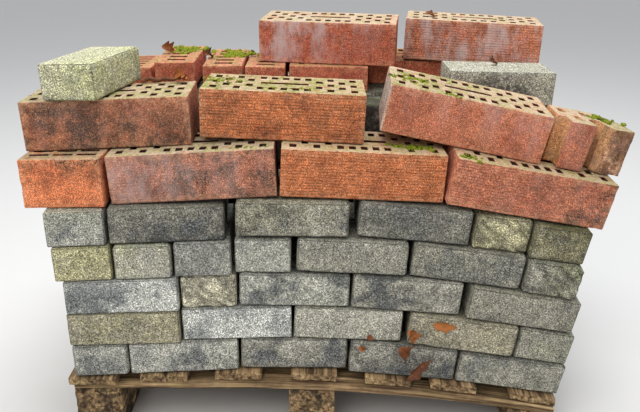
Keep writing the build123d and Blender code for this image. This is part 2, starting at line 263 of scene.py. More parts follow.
@dataclass
class Piece:
    """Quad mesh of one piece in its own box frame.

    Args:
        points: Its vertices.
        quads: Its faces.
    """

    points: Array
    quads: Array

    @classmethod
    def from_faces(cls, faces: list[tuple[Array, Array]]) -> "Piece":
        """Weld separate grids into one piece.

        Args:
            faces: Points and quads of each grid.

        Returns:
            The piece.
        """
        points = np.concatenate([grid for grid, quads in faces])
        starts = np.cumsum([0] + [len(grid) for grid, quads in faces[:-1]])
        quads = np.concatenate([quads + start for (grid, quads), start in zip(faces, starts)])
        kept, place = welded(points, WELD_GRID)
        return cls(points[kept], place[quads])


def cell_quads(rows: int, columns: int) -> Array:
    """Quads of a grid of points, one block for each row of cells.

    Args:
        rows: Points along the first way.
        columns: Points along the second.

    Returns:
        Corners of each cell, with the shape (rows - 1, columns - 1, 4).
    """
    i, j = np.meshgrid(np.arange(rows - 1), np.arange(columns - 1), indexing="ij")
    corner = i * columns + j
    return np.stack([corner, corner + columns, corner + columns + 1, corner + 1], axis=-1)


def grid_face(
    axis: int, level: float, lines_a: Array, lines_b: Array, keep: Array | None = None
) -> tuple[Array, Array]:
    """Flat grid of quads square to one axis.

    Args:
        axis: Axis that the face is square to.
        level: Position on that axis; its sign sets the facing.
        lines_a: Grid lines on the next axis.
        lines_b: Grid lines on the axis after that.
        keep: Cells that stay, or None for all.

    Returns:
        Points and quads.
    """
    first, second = (axis + 1) % 3, (axis + 2) % 3
    a, b = np.meshgrid(lines_a, lines_b, indexing="ij")
    points = np.empty((a.size, 3))
    points[:, axis] = level
    points[:, first] = a.ravel()
    points[:, second] = b.ravel()
    quads = cell_quads(len(lines_a), len(lines_b))
    quads = quads[keep] if keep is not None else quads.reshape(-1, 4)
    if level < 0:
        quads = quads[:, ::-1]
    return points, quads


def side_faces(lines: list[Array], axes: tuple[int, ...]) -> list[tuple[Array, Array]]:
    """Grids on both sides of a box, square to each of some axes.

    Args:
        lines: Grid lines on the three axes.
        axes: The axes.

    Returns:
        Points and quads of each side.
    """
    faces = []
    for axis in axes:
        for level in (lines[axis][0], lines[axis][-1]):
            faces.append(grid_face(axis, level, lines[(axis + 1) % 3], lines[(axis + 2) % 3]))
    return faces


def perforated_piece(lines: list[Array], holes: list[Hole]) -> Piece:
    """Box with upright rectangular holes right through it.

    Args:
        lines: Grid lines on the three axes, which hold every hole edge.
        holes: Left, right, front and back of each hole.

    Returns:
        The piece.
    """
    xs, ys, zs = lines
    mid_x = (xs[:-1] + xs[1:]) / 2
    mid_y = (ys[:-1] + ys[1:]) / 2
    solid = np.ones((len(mid_x), len(mid_y)), dtype=bool)
    for left, right, front, back in holes:
        inside_x = (mid_x > left) & (mid_x < right)
        inside_y = (mid_y > front) & (mid_y < back)
        solid &= ~(inside_x[:, None] & inside_y[None, :])
    faces = [grid_face(2, zs[0], xs, ys, solid), grid_face(2, zs[-1], xs, ys, solid)]
    faces += side_faces(lines, (0, 1))
    for i, j in np.argwhere(~solid):
        for axis, level, span, neighbour, facing in (
            (0, xs[i], ys[j : j + 2], solid[i - 1, j], 1),
            (0, xs[i + 1], ys[j : j + 2], solid[i + 1, j], -1),
            (1, ys[j], xs[i : i + 2], solid[i, j - 1], 1),
            (1, ys[j + 1], xs[i : i + 2], solid[i, j + 1], -1),
        ):
            if not neighbour:
                continue
            pair = (span, zs) if axis == 0 else (zs, span)
            points, quads = grid_face(axis, 1.0, *pair)
            points[:, axis] = level
            faces.append((points, quads[:, ::facing]))
    return Piece.from_faces(faces)


def rounded(points: Array, half: Array, radius: float) -> tuple[Array, Array, Array]:
    """Round the edges of a box-shaped piece.

    Args:
        points: Points of the sharp piece in its box frame.
        half: Half its length, width and height.
        radius: Radius of the edges.

    Returns:
        The rounded points, the way outward at each, and how far out of the box within the edges each was.
    """
    inner = half - radius
    core = np.clip(points, -inner, inner)
    out = points - core
    reach = np.linalg.norm(out, axis=1)
    outward = out / np.maximum(reach, 1e-9)[:, None]
    return core + outward * np.minimum(reach, radius)[:, None], outward, reach


def edge_nearness(points: Array, half: Array, reach: float) -> Array:
    """How near points are to an edge of their box.

    Args:
        points: Points in the box frame.
        half: Half its length, width and height.
        reach: Distance from the edge at which the value is 0.

    Returns:
        One value per point, from 0 to 1.
    """
    gap = np.sort(half - np.abs(points), axis=1)[:, 1]
    return np.clip(1.0 - gap / reach, 0.0, 1.0)


@dataclass(frozen=True)
class Wear:
    """How far a piece has lost its sharp edges.

    Args:
        radius: Rounding of the outer edges.
        roughness: Depth of the uneven surface.
        grain: Size of that unevenness.
        chips: Number of broken spots along the edges.
        chip_size: Radius of the largest of them.
        chip_depth: Depth of a broken spot as a part of its radius.
        edge_reach: How far in from an edge the wear is stronger.
    """

    radius: float
    roughness: float
    grain: float
    chips: int
    chip_size: float
    chip_depth: float = 0.42
    edge_reach: float = 14.0 * MM

    def apply(self, points: Array, half: Array, seed: int) -> tuple[Array, Array]:
        """Wear a box-shaped piece inward.

        Args:
            points: Points of the sharp piece in its box frame.
            half: Half its length, width and height.
            seed: Number of the piece.

        Returns:
            The worn points, and for each how near it is to an edge, from 0 to 1.
        """
        rng = np.random.default_rng(seed)
        shift = rng.uniform(-50.0, 50.0, 3)
        worn, outward, reach = rounded(points, half, self.radius)
        on_skin = reach > self.radius * 0.98
        edge = edge_nearness(points, half, self.edge_reach)
        bite = 0.5 + 0.5 * fractal(points / self.grain + shift, seed, 3)
        bite = self.roughness * bite * (1.0 + 1.5 * edge)
        worn -= outward * np.where(on_skin, bite, 0.0)[:, None]
        for _ in range(self.chips):
            spot = rng.uniform(-1.0, 1.0, 3)
            fixed = rng.permutation(3)[:2]
            spot[fixed] = np.sign(spot[fixed])
            spot *= half
            way = np.where(np.isin(np.arange(3), fixed), np.sign(spot), 0.0)
            way /= np.linalg.norm(way)
            radius = self.chip_size * rng.uniform(0.35, 1.0)
            near = np.clip(1.0 - np.linalg.norm(points - spot, axis=1) / radius, 0.0, 1.0)
            worn -= np.where(on_skin, near**0.7 * radius * self.chip_depth, 0.0)[:, None] * way
        return np.clip(worn, -half, half), edge


@dataclass
class MeshPile:
    """Pieces of one node gathered into one mesh with their marks.

    Args:
        points: Vertices of each piece.
        quads: Faces of each piece.
        marks: For each attribute its values on each piece.
        count: Number of vertices so far.
    """

    points: list[Array] = field(default_factory=list)
    quads: list[Array] = field(default_factory=list)
    marks: dict[str, list[Array]] = field(default_factory=dict)
    count: int = 0

    def add(self, points: Array, quads: Array, **marks: Array) -> None:
        """Append one piece.

        Args:
            points: Its vertices in the shared frame.
            quads: Its faces.
            marks: One value or row of values per vertex for each attribute.
        """
        self.points.append(points)
        self.quads.append(quads + self.count)
        for name, values in marks.items():
            values = np.asarray(values, dtype=float)
            if values.ndim < 2 and values.size != len(points):
                values = np.tile(values, (len(points), 1))
            self.marks.setdefault(name, []).append(values.reshape(len(points), -1))
        self.count += len(points)

    def build(self, name: str, finish: bpy.types.Material, sharp: float = 38.0) -> bpy.types.Object:
        """Make the object.

        Args:
            name: Name of the object.
            finish: Its material.
            sharp: Angle in degrees past which an edge shades sharp.

        Returns:
            The object, linked to the scene.
        """
        points = np.concatenate(self.points)
        quads = np.concatenate(self.quads)
        mesh = bpy.data.meshes.new(name)
        mesh.vertices.add(len(points))
        mesh.vertices.foreach_set("co", points.ravel().astype(np.float32))
        mesh.loops.add(quads.size)
        mesh.loops.foreach_set("vertex_index", quads.ravel().astype(np.int32))
        mesh.polygons.add(len(quads))
        mesh.polygons.foreach_set("loop_start", np.arange(0, quads.size, 4, dtype=np.int32))
        mesh.polygons.foreach_set("use_smooth", np.ones(len(quads), dtype=bool))
        for mark, parts in self.marks.items():
            values = np.concatenate(parts).astype(np.float32)
            if values.shape[1] == 1:
                layer = mesh.attributes.new(mark, "FLOAT", "POINT")
                layer.data.foreach_set("value", values.ravel())
            else:
                layer = mesh.attributes.new(mark, "FLOAT_VECTOR", "POINT")
                layer.data.foreach_set("vector", values.ravel())
        mesh.update()
        mesh.validate()
        mesh.set_sharp_from_angle(angle=math.radians(sharp))
        mesh.materials.append(finish)
        made = bpy.data.objects.new(name, mesh)
        bpy.context.scene.collection.objects.link(made)
        return made


@dataclass(frozen=True)
class Noise:
    """Cloudy pattern.

    Args:
        scale: Patches per metre.
        detail: Octaves.
        rough: Strength of the fine octaves, from 0 to 1.
    """

    scale: float
    detail: float = 4.0
    rough: float = 0.6


@dataclass(frozen=True)
class Cells:
    """Pattern of small cells, each with a grey of its own.

    Args:
        scale: Cells per metre.
    """

    scale: float


@dataclass(frozen=True)
class Mask:
    """Where a pattern lets something show.

    Args:
        pattern: The pattern.
        low: Value at which nothing shows.
        high: Value at which all shows.
        share: Strength where all shows, from 0 to 1.
        stretch: Factors on the position along the three axes.
    """

    pattern: Noise | Cells
    low: float
    high: float
    share: float = 1.0
    stretch: tuple[float, float, float] | None = None


@dataclass(frozen=True)
class Grain:
    """One layer of light and dark grains on a colour.

    Args:
        mask: Where the grains are light, and how strong the layer is.
        dark: Factor on the colour where they are dark.
        light: Factor where they are light.
    """

    mask: Mask
    dark: Colour
    light: Colour


class Graph:
    """Short names for the shader nodes of one material."""

    def __init__(self, name: str, roughness: float) -> None:
        """Start a material.

        Args:
            name: Name of the material.
            roughness: Its roughness.
        """
        self.material = bpy.data.materials.new(name)
        self.material.use_nodes = True
        self.tree = self.material.node_tree
        self.surface = self.tree.nodes["Principled BSDF"]
        self.surface.inputs["Roughness"].default_value = roughness
        self.surface.inputs["Specular IOR Level"].default_value = 0.25

    def node(self, kind: str, **settings: object) -> bpy.types.Node:
        """New node.

        Args:
            kind: Name of its type.
            settings: Values of its properties.

        Returns:
            The node.
        """
        made = self.tree.nodes.new(kind)
        for key, value in settings.items():
            setattr(made, key, value)
        return made

    def feed(self, socket: Socket, value: object) -> None:
        """Link or set one input.

        Args:
            socket: The input.
            value: Output to link, or number, vector or colour to set.
        """
        if isinstance(value, bpy.types.NodeSocket):
            self.tree.links.new(value, socket)
        elif isinstance(value, tuple) and len(value) == 3 and socket.type == "RGBA":
            socket.default_value = (*value, 1.0)
        else:
            socket.default_value = value

    def mark(self, name: str) -> Socket:
        """Number stored on the mesh."""
        return self.node("ShaderNodeAttribute", attribute_name=name).outputs["Fac"]

    def vector_mark(self, name: str) -> Socket:
        """Vector or colour stored on the mesh."""
        return self.node("ShaderNodeAttribute", attribute_name=name).outputs["Vector"]

    def voronoi(self, vector: object, scale: float, output: str = "Distance") -> Socket:
        """Scattered cells.

        Args:
            vector: Position.
            scale: Cells per metre.
            output: Name of the output, the distance to the nearest middle unless told.

        Returns:
            The output.
        """
        made = self.node("ShaderNodeTexVoronoi")
        self.feed(made.inputs["Vector"], vector)
        made.inputs["Scale"].default_value = scale
        return made.outputs[output]

    def pattern(self, vector: object, kind: Noise | Cells) -> Socket:
        """Value of a pattern, about 0.25 to 0.75 for noise and 0 to 1 for cells.

        Args:
            vector: Position.
            kind: The pattern.

        Returns:
            The value.
        """
        if isinstance(kind, Cells):
            return self.component(self.voronoi(vector, kind.scale, "Color"), "X")
        made = self.node("ShaderNodeTexNoise")
        self.feed(made.inputs["Vector"], vector)
        made.inputs["Scale"].default_value = kind.scale
        made.inputs["Detail"].default_value = kind.detail
        made.inputs["Roughness"].default_value = kind.rough
        return made.outputs["Fac"]

    def scaled(self, vector: object, by: tuple[float, float, float]) -> Socket:
        """Vector stretched along its axes.

        Args:
            vector: The vector.
            by: Factors.

        Returns:
            The stretched vector.
        """
        made = self.node("ShaderNodeVectorMath", operation="MULTIPLY")
        self.feed(made.inputs[0], vector)
        made.inputs[1].default_value = by
        return made.outputs["Vector"]

    def ramp(self, value: object, low: float, high: float) -> Socket:
        """Value mapped smoothly from low..high to 0..1.

        Args:
            value: The value.
            low: What becomes 0.
            high: What becomes 1.

        Returns:
            The mapped value.
        """
        made = self.node("ShaderNodeMapRange", interpolation_type="SMOOTHSTEP")
        self.feed(made.inputs["Value"], value)
        made.inputs["From Min"].default_value = low
        made.inputs["From Max"].default_value = high
        return made.outputs["Result"]

    def reckon(self, operation: str, *values: object) -> Socket:
        """Arithmetic of numbers.

        Args:
            operation: Name of it.
            values: The numbers.

        Returns:
            The result.
        """
        made = self.node("ShaderNodeMath", operation=operation)
        for socket, value in zip(made.inputs, values):
            self.feed(socket, value)
        return made.outputs["Value"]

    def product(self, a: object, b: object) -> Socket:
        """One number times another."""
        return self.reckon("MULTIPLY", a, b)

    def plus(self, a: object, b: object) -> Socket:
        """Sum of two numbers."""
        return self.reckon("ADD", a, b)

    def blend(self, share: object, a: object, b: object, mode: str = "MIX") -> Socket:
        """Colour a blended towards colour b.

        Args:
            share: How far, from 0 to 1.
            a: First colour.
            b: Second colour.
            mode: Way of blending.

        Returns:
            The colour.
        """
        made = self.node("ShaderNodeMix", data_type="RGBA", blend_type=mode)
        self.feed(made.inputs["Factor"], share)
        self.feed(made.inputs["A"], a)
        self.feed(made.inputs["B"], b)
        return made.outputs["Result"]

    def component(self, vector: object, axis: str) -> Socket:
        """One component of a vector.

        Args:
            vector: The vector.
            axis: X, Y or Z.

        Returns:
            The number.
        """
        parts = self.node("ShaderNodeSeparateXYZ")
        self.feed(parts.inputs[0], vector)
        return parts.outputs[axis]

    def up(self) -> Socket:
        """How far the surface faces up."""
        return self.component(self.node("ShaderNodeNewGeometry").outputs["Normal"], "Z")

    def mask(self, vector: object, mask: Mask, mark: str | None = None) -> Socket:
        """Strength of a mask.

        Args:
            vector: Position.
            mask: The mask.
            mark: Name of the number on the mesh that weakens it, or None.

        Returns:
            The strength, from 0 to 1.
        """
        if mask.stretch:
            vector = self.scaled(vector, mask.stretch)
        strength = self.ramp(self.pattern(vector, mask.pattern), mask.low, mask.high)
        if mark:
            strength = self.product(strength, self.mark(mark))
        return strength if mask.share == 1.0 else self.product(strength, mask.share)

    def grained(self, colour: object, vector: object, grain: Grain) -> Socket:
        """Colour with a layer of grains.

        Args:
            colour: The colour.
            vector: Position.
            grain: The grains.

        Returns:
            The colour with them.
        """
        light = self.mask(vector, replace(grain.mask, share=1.0))
        return self.blend(grain.mask.share, colour, self.blend(light, grain.dark, grain.light), "MULTIPLY")

    def finish(self, colour: object, relief: object, depth: float) -> bpy.types.Material:
        """Wire the surface.

        Args:
            colour: Base colour.
            relief: Height of the fine relief, 0 to 1.
            depth: Its depth in metres.

        Returns:
            The material.
        """
        self.feed(self.surface.inputs["Base Color"], colour)
        bump = self.node("ShaderNodeBump")
        bump.inputs["Strength"].default_value = 1.0
        bump.inputs["Distance"].default_value = depth
        self.feed(bump.inputs["Height"], relief)
        self.feed(self.surface.inputs["Normal"], bump.outputs["Normal"])
        return self.material


@dataclass(frozen=True)
class ConcreteFinish:
    """Speckled, pitted concrete with blue-grey clouds, algae and damp, with painted shade in its pits, in the
    joints along its edges and on the rear pavers.
    """

    name: str = "speckled_concrete"
    roughness: float = 0.93
    relief: float = 1.6 * MM
    blue: Colour = linear(78, 84, 92)
    chalk: Colour = linear(224, 222, 212)
    fleck: Colour = linear(228, 226, 216)
    # Painted shade in the pits.
    hollow_shade: Colour = linear(46, 44, 42)
    algae: Colour = (0.96, 1.0, 0.72)
    moss: Colour = linear(92, 104, 34)
    # Dark damp colour, also used for painted shade in the joints along the edges.
    damp_and_shade: Colour = linear(58, 56, 50)
    dark_clouds: Mask = Mask(Noise(15.0, 6.0, 0.62), 0.47, 0.6, 0.9)
    light_clouds: Mask = Mask(Noise(15.0, 6.0, 0.62), 0.5, 0.36, 0.55)
    smudges: Mask = Mask(Noise(55.0, 5.0, 0.7), 0.42, 0.62, 0.4)
    grit: Noise = Noise(430.0, 3.0, 0.9)
    dust: Noise = Noise(820.0, 2.0, 0.8)
    grains: tuple[Grain, ...] = (
        Grain(Mask(Noise(130.0, 4.0, 0.75), 0.36, 0.64, 0.36), (0.5, 0.5, 0.5), (1.5, 1.5, 1.48)),
        Grain(Mask(Cells(640.0), 0.05, 0.95, 0.66), (0.35, 0.35, 0.36), (1.7, 1.69, 1.66)),
        Grain(Mask(grit, 0.42, 0.58, 0.56), (0.14, 0.14, 0.15), (1.95, 1.92, 1.84)),
        Grain(Mask(dust, 0.42, 0.58, 0.66), (0.14, 0.14, 0.15), (1.85, 1.85, 1.8)),
    )
    flecks: Mask = Mask(Cells(480.0), 0.88, 0.93, 0.3)
    pit_scale: float = 230.0
    pit_rims: tuple[float, float] = (0.24, 0.1)
    pitted: Mask = Mask(Noise(60.0, 2.0), 0.47, 0.6)
    soak: Noise = Noise(34.0, 8.0, 0.8)
    film: Mask = Mask(Noise(18.0, 6.0, 0.7), 0.3, 0.66)
    # Where the darker rim near the edges shows: partly damp, partly painted shade in the joints.
    rim: Mask = Mask(Noise(80.0, 4.0), 0.25, 0.5, 0.62)
    ledge: Mask = Mask(Noise(80.0, 6.0, 0.75), 0.46, 0.6)

    def material(self) -> bpy.types.Material:
        """Build the material.

        Returns:
            The material.
        """
        g = Graph(self.name, self.roughness)
        at = g.vector_mark("spot")
        tint = g.vector_mark("tint")
        grime = g.mark("grime")
        blued, chalked = g.blend(0.85, tint, self.blue), g.blend(0.5, tint, self.chalk)
        colour = g.blend(g.mask(at, self.dark_clouds, "cloud"), tint, blued)
        colour = g.blend(g.mask(at, self.light_clouds, "cloud"), colour, chalked)
        colour = g.blend(g.mask(at, self.smudges), colour, g.blend(0.5, colour, self.damp_and_shade))
        for grain in self.grains:
            colour = g.grained(colour, at, grain)
        colour = g.blend(g.mask(at, self.flecks), colour, self.fleck)
        pits = g.product(g.ramp(g.voronoi(at, self.pit_scale), *self.pit_rims), g.mask(at, self.pitted))
        # Painted shade darkens the pits.
        colour = g.blend(g.product(pits, 0.7), colour, self.hollow_shade)
        # Damp stains: dirt, and on the rear pavers painted shade.
        soaked = g.plus(g.pattern(at, self.soak), g.product(grime, 0.14))
        stain_and_shade = g.product(g.ramp(soaked, 0.54, 0.64), grime)
        colour = g.blend(g.product(stain_and_shade, 0.8), colour, self.damp_and_shade)
        green = g.blend(1.0, colour, self.algae, "MULTIPLY")
        colour = g.blend(g.mask(at, self.film, "algae"), colour, green)
        # Darker rim near every edge: partly damp, partly painted shade in the joints between pavers.
        rim = g.product(g.ramp(g.mark("edge"), 0.74, 0.98), g.mask(at, self.rim))
        colour = g.blend(rim, colour, self.damp_and_shade)
        ledge = g.product(g.ramp(g.up(), 0.5, 0.9), g.mask(at, self.ledge, "moss"))
        colour = g.blend(ledge, colour, self.moss)
        rough = g.plus(g.pattern(at, self.grit), g.product(g.pattern(at, self.dust), 0.4))
        return g.finish(colour, g.plus(rough, g.product(pits, -1.4)), self.relief)


@dataclass(frozen=True)
class ClayFinish:
    """Fired clay with combed lines, weathering, white haze and moss, with painted shade inside the holes, in
    the pits and in the combed grooves.
    """

    name: str = "fired_clay"
    roughness: float = 0.9
    relief: float = 1.4 * MM
    comb_pitch: float = 5.2 * MM
    comb_wander: float = 4.0 * MM
    ember: Colour = linear(150, 62, 38)
    peach: Colour = linear(240, 158, 112)
    soot: Colour = linear(64, 58, 48)
    fleck: Colour = linear(240, 208, 176)
    # Painted shade in the pits.
    pit_shade: Colour = linear(70, 38, 28)
    # Painted shade in the combed grooves.
    groove_shade: Colour = linear(104, 50, 30)
    worn_edge: Colour = linear(236, 182, 140)
    haze: Colour = linear(216, 198, 196)
    cream: Colour = linear(226, 208, 174)
    moss: Colour = linear(96, 110, 28)
    lichen: Colour = linear(190, 182, 108)
    # Painted shade inside the holes of the bricks.
    hollow_shade: Colour = linear(38, 24, 18)
    ember_clouds: Mask = Mask(Noise(15.0, 6.0, 0.65), 0.5, 0.66, 0.36)
    peach_clouds: Mask = Mask(Noise(15.0, 6.0, 0.65), 0.5, 0.34, 0.26)
    sand: Noise = Noise(600.0, 3.0, 0.88)
    grains: tuple[Grain, ...] = (
        Grain(Mask(Noise(110.0, 4.0, 0.75), 0.36, 0.64, 0.3), (0.66, 0.6, 0.56), (1.4, 1.44, 1.48)),
        Grain(Mask(Cells(760.0), 0.05, 0.95, 0.66), (0.52, 0.48, 0.46), (1.48, 1.55, 1.64)),
        Grain(Mask(sand, 0.4, 0.6, 0.8), (0.38, 0.36, 0.35), (1.46, 1.56, 1.66)),
        Grain(Mask(Noise(1100.0, 2.0, 0.8), 0.4, 0.6, 0.76), (0.38, 0.36, 0.35), (1.46, 1.56, 1.66)),
    )
    blotches: Mask = Mask(Noise(50.0, 5.0, 0.7), 0.44, 0.6, 0.24)
    flecks: Mask = Mask(Cells(720.0), 0.92, 0.96, 0.34)
    pit_scale: float = 260.0
    pit_rims: tuple[float, float] = (0.2, 0.08)
    pitted: Mask = Mask(Noise(50.0, 3.0), 0.48, 0.62)
    combed: Mask = Mask(Noise(34.0, 4.0), 0.38, 0.56, stretch=(1.0, 1.0, 5.0))
    weather: Mask = Mask(Noise(26.0, 8.0, 0.75), 0.4, 0.58)
    weather_grain: Mask = Mask(Noise(420.0, 2.0, 0.7), 0.4, 0.58)
    veil: Mask = Mask(Noise(36.0, 7.0, 0.72), 0.4, 0.66, 0.8, (1.0, 1.0, 0.35))
    worn: Mask = Mask(Noise(110.0, 4.0, 0.7), 0.42, 0.6, 0.45)
    crust: Mask = Mask(Noise(55.0, 5.0, 0.7), 0.3, 0.5)
    chalky: Mask = Mask(Noise(300.0, 3.0, 0.8), 0.38, 0.62)
    film: Mask = Mask(Noise(38.0, 6.0, 0.75), 0.42, 0.58)
    fuzz: Mask = Mask(Noise(160.0, 3.0), 0.4, 0.6)

    def comb(self, g: Graph, at: Socket) -> Socket:
        """Strength of the combed lines.

        Args:
            g: The material's graph.
            at: Position.

        Returns:
            The strength, from 0 to 1.
        """
        wander = g.pattern(g.scaled(at, (1.0, 1.0, 6.0)), Noise(22.0, 2.0))
        height = g.plus(g.component(at, "Z"), g.product(wander, self.comb_wander))
        wave = g.reckon("SINE", g.product(height, 2.0 * math.pi / self.comb_pitch))
        return g.product(g.ramp(wave, -0.2, 0.9), g.mask(at, self.combed, "comb"))

    def material(self) -> bpy.types.Material:
        """Build the material.

        Returns:
            The material.
        """
        g = Graph(self.name, self.roughness)
        at = g.vector_mark("spot")
        colour = g.blend(g.mask(at, self.ember_clouds), g.vector_mark("tint"), self.ember)
        colour = g.blend(g.mask(at, self.peach_clouds), colour, self.peach)
        for grain in self.grains:
            colour = g.grained(colour, at, grain)
        colour = g.blend(g.mask(at, self.blotches), colour, g.blend(0.6, colour, self.soot))
        colour = g.blend(g.mask(at, self.flecks), colour, self.fleck)
        pits = g.product(g.ramp(g.voronoi(at, self.pit_scale), *self.pit_rims), g.mask(at, self.pitted))
        # Painted shade darkens the pits.
        colour = g.blend(g.product(pits, 0.6), colour, self.pit_shade)
        comb = self.comb(g, at)
        # Painted shade darkens the combed grooves.
        colour = g.blend(g.product(comb, 0.38), colour, self.groove_shade)
        weather = g.product(g.mask(at, self.weather, "grime"), g.plus(g.mask(at, self.weather_grain), 0.35))
        colour = g.blend(g.product(weather, 0.85), colour, self.soot)
        colour = g.blend(g.mask(at, self.veil, "haze"), colour, self.haze)
        colour = g.blend(g.mask(at, self.worn, "edge"), colour, self.worn_edge)
        top = g.ramp(g.up(), 0.55, 0.9)
        chalky = g.blend(g.mask(at, self.chalky), g.blend(0.45, self.cream, self.soot), self.cream)
        colour = g.blend(g.product(top, g.mask(at, self.crust, "crust")), colour, chalky)
        film = g.product(top, g.mask(at, self.film, "moss"))
        fuzzy = g.blend(g.mask(at, self.fuzz), self.lichen, self.moss)
        colour = g.blend(g.product(film, 0.9), colour, fuzzy)
        # Painted shade darkens the inside of the holes.
        colour = g.blend(g.product(g.ramp(g.mark("inner"), 0.0, 0.6), 0.92), colour, self.hollow_shade)
        raised = g.plus(g.pattern(at, self.sand), g.product(film, 0.8))
        cut = g.plus(g.product(comb, -0.8), g.product(pits, -1.2))
        return g.finish(colour, g.plus(raised, cut), self.relief)


@dataclass(frozen=True)
class TimberFinish:
    """Weathered, cracked softwood with dark rot, painted shade in its cracks, and mostly painted shade on the
    pieces under the deck.
    """

    name: str = "weathered_timber"
    roughness: float = 0.9
    relief: float = 2.2 * MM
    dark: Colour = linear(84, 62, 42)
    brown: Colour = linear(186, 156, 116)
    pale: Colour = linear(236, 210, 160)
    # Painted shade in the cracks.
    split: Colour = linear(34, 26, 20)
    # Dark rot colour, also painted shade on the pieces under the deck.
    rot: Colour = linear(52, 42, 34)
    green: Colour = linear(104, 108, 62)
    rings: Noise = Noise(1.0, 8.0, 0.68)
    ring_stretch: tuple[float, float, float] = (5.0, 150.0, 150.0)
    fibre: Noise = Noise(1.0, 3.0, 0.7)
    fibre_stretch: tuple[float, float, float] = (22.0, 900.0, 900.0)
    clouds: Grain = Grain(Mask(Noise(12.0), 0.34, 0.66, 0.7), (0.5, 0.48, 0.46), (1.3, 1.28, 1.22))
    cracks: Mask = Mask(Noise(1.0, 3.0, 0.5), 0.4, 0.33, stretch=(3.0, 60.0, 60.0))
    rotten: Mask = Mask(Noise(30.0, 6.0, 0.7), 0.42, 0.6)
    mossy: Mask = Mask(Noise(24.0, 5.0, 0.7), 0.48, 0.64, 0.6)

    def material(self) -> bpy.types.Material:
        """Build the material.

        Returns:
            The material.
        """
        g = Graph(self.name, self.roughness)
        at = g.vector_mark("spot")
        rings = g.pattern(g.scaled(at, self.ring_stretch), self.rings)
        fibre = g.pattern(g.scaled(at, self.fibre_stretch), self.fibre)
        colour = g.blend(g.ramp(rings, 0.36, 0.62), self.dark, self.brown)
        colour = g.blend(g.ramp(rings, 0.56, 0.74), colour, self.pale)
        colour = g.grained(colour, at, self.clouds)
        shade = g.blend(g.ramp(fibre, 0.35, 0.65), (0.6, 0.58, 0.56), (1.3, 1.3, 1.3))
        colour = g.blend(0.6, colour, shade, "MULTIPLY")
        crack = g.mask(at, self.cracks)
        # Painted shade in the cracks.
        colour = g.blend(g.product(crack, 0.85), colour, self.split)
        # Rot, and painted shade on the pieces under the deck.
        colour = g.blend(g.mask(at, self.rotten, "grime"), colour, self.rot)
        colour = g.blend(g.mask(at, self.mossy, "moss"), colour, self.green)
        relief = g.plus(g.plus(rings, g.product(fibre, 0.3)), g.product(crack, -0.9))
        return g.finish(colour, relief, self.relief)


@dataclass(frozen=True)
class LitterFinish:
    """Dead leaves and bark, blotched brown."""

    name: str = "dead_leaf"
    roughness: float = 0.7
    relief: float = 0.8 * MM
    dark: Colour = linear(70, 42, 24)
    tan: Colour = linear(166, 106, 62)
    blotches: Mask = Mask(Noise(120.0, 5.0, 0.7), 0.44, 0.68)
    spots: Mask = Mask(Noise(60.0, 4.0), 0.5, 0.62, 0.7)
    veins: Noise = Noise(240.0, 4.0)

    def material(self) -> bpy.types.Material:
        """Build the material.

        Returns:
            The material.
        """
        g = Graph(self.name, self.roughness)
        at = g.vector_mark("spot")
        colour = g.blend(g.mask(at, self.blotches), g.vector_mark("tint"), self.tan)
        colour = g.blend(g.mask(at, self.spots), colour, self.dark)
        colour = g.blend(g.product(g.mark("edge"), 0.6), colour, self.dark)
        return g.finish(colour, g.pattern(g.scaled(at, (1.0, 3.0, 1.0)), self.veins), self.relief)


@dataclass(frozen=True)
class MossFinish:
    """Moss in tufts, green over yellow, with painted shade in the gaps between them."""

    name: str = "moss"
    roughness: float = 1.0
    relief: float = 3.0 * MM
    green: Colour = linear(84, 110, 18)
    yellow: Colour = linear(170, 172, 44)
    dark: Colour = linear(40, 50, 16)
    fuzz: Noise = Noise(520.0, 4.0, 0.8)
    # Where painted shade shows in the gaps of the moss.
    shaded_gaps: Mask = Mask(Noise(140.0, 3.0), 0.52, 0.66)

    def material(self) -> bpy.types.Material:
        """Build the material.

        Returns:
            The material.
        """
        g = Graph(self.name, self.roughness)
        at = g.vector_mark("spot")
        fuzz = g.pattern(at, self.fuzz)
        colour = g.blend(g.ramp(fuzz, 0.36, 0.64), self.green, self.yellow)
        # Painted shade in the gaps of the moss.
        colour = g.blend(g.mask(at, self.shaded_gaps), colour, self.dark)
        return g.finish(colour, fuzz, self.relief)


class Tone(Enum):
    """Plain colours that single pieces start from."""

    COAL = linear(128, 126, 118)
    SLATE = linear(154, 151, 138)
    STONE = linear(158, 156, 145)
    ASH = linear(172, 172, 165)
    FOG = linear(206, 208, 204)
    PALE = linear(182, 180, 168)
    SAND = linear(186, 180, 148)
    DUN = linear(166, 159, 140)
    LICHEN = linear(142, 136, 110)
    AMBER = linear(246, 142, 90)
    ORANGE = linear(234, 136, 82)
    CLAY = linear(226, 132, 94)
    ROSE = linear(208, 132, 100)
    RED = linear(216, 112, 80)
    MINT = linear(194, 192, 166)
    BONE = linear(208, 202, 182)
    DUSK = linear(180, 112, 78)


@dataclass(frozen=True)
class Patch:
    """Strength of one surface mark over a piece.

    Args:
        amount: Strength in the middle, from 0 to 1.
        right: How much stronger it gets towards the right end.
        up: How much stronger it gets towards the top.
        middle: How much weaker it gets away from the middle.
    """

    amount: float = 0.0
    right: float = 0.0
    up: float = 0.0
    middle: float = 0.0

    def over(self, right: Array, up: Array) -> Array:
        """Strength at places on the piece.

        Args:
            right: How far right each is, from -1 to 1.
            up: How far up each is, from -1 to 1.

        Returns:
            One value per place, from 0 to 1.
        """
        away = right**2 + 0.4 * up**2
        return np.clip(self.amount * (1.0 + self.right * right + self.up * up - self.middle * away), 0.0, 1.0)


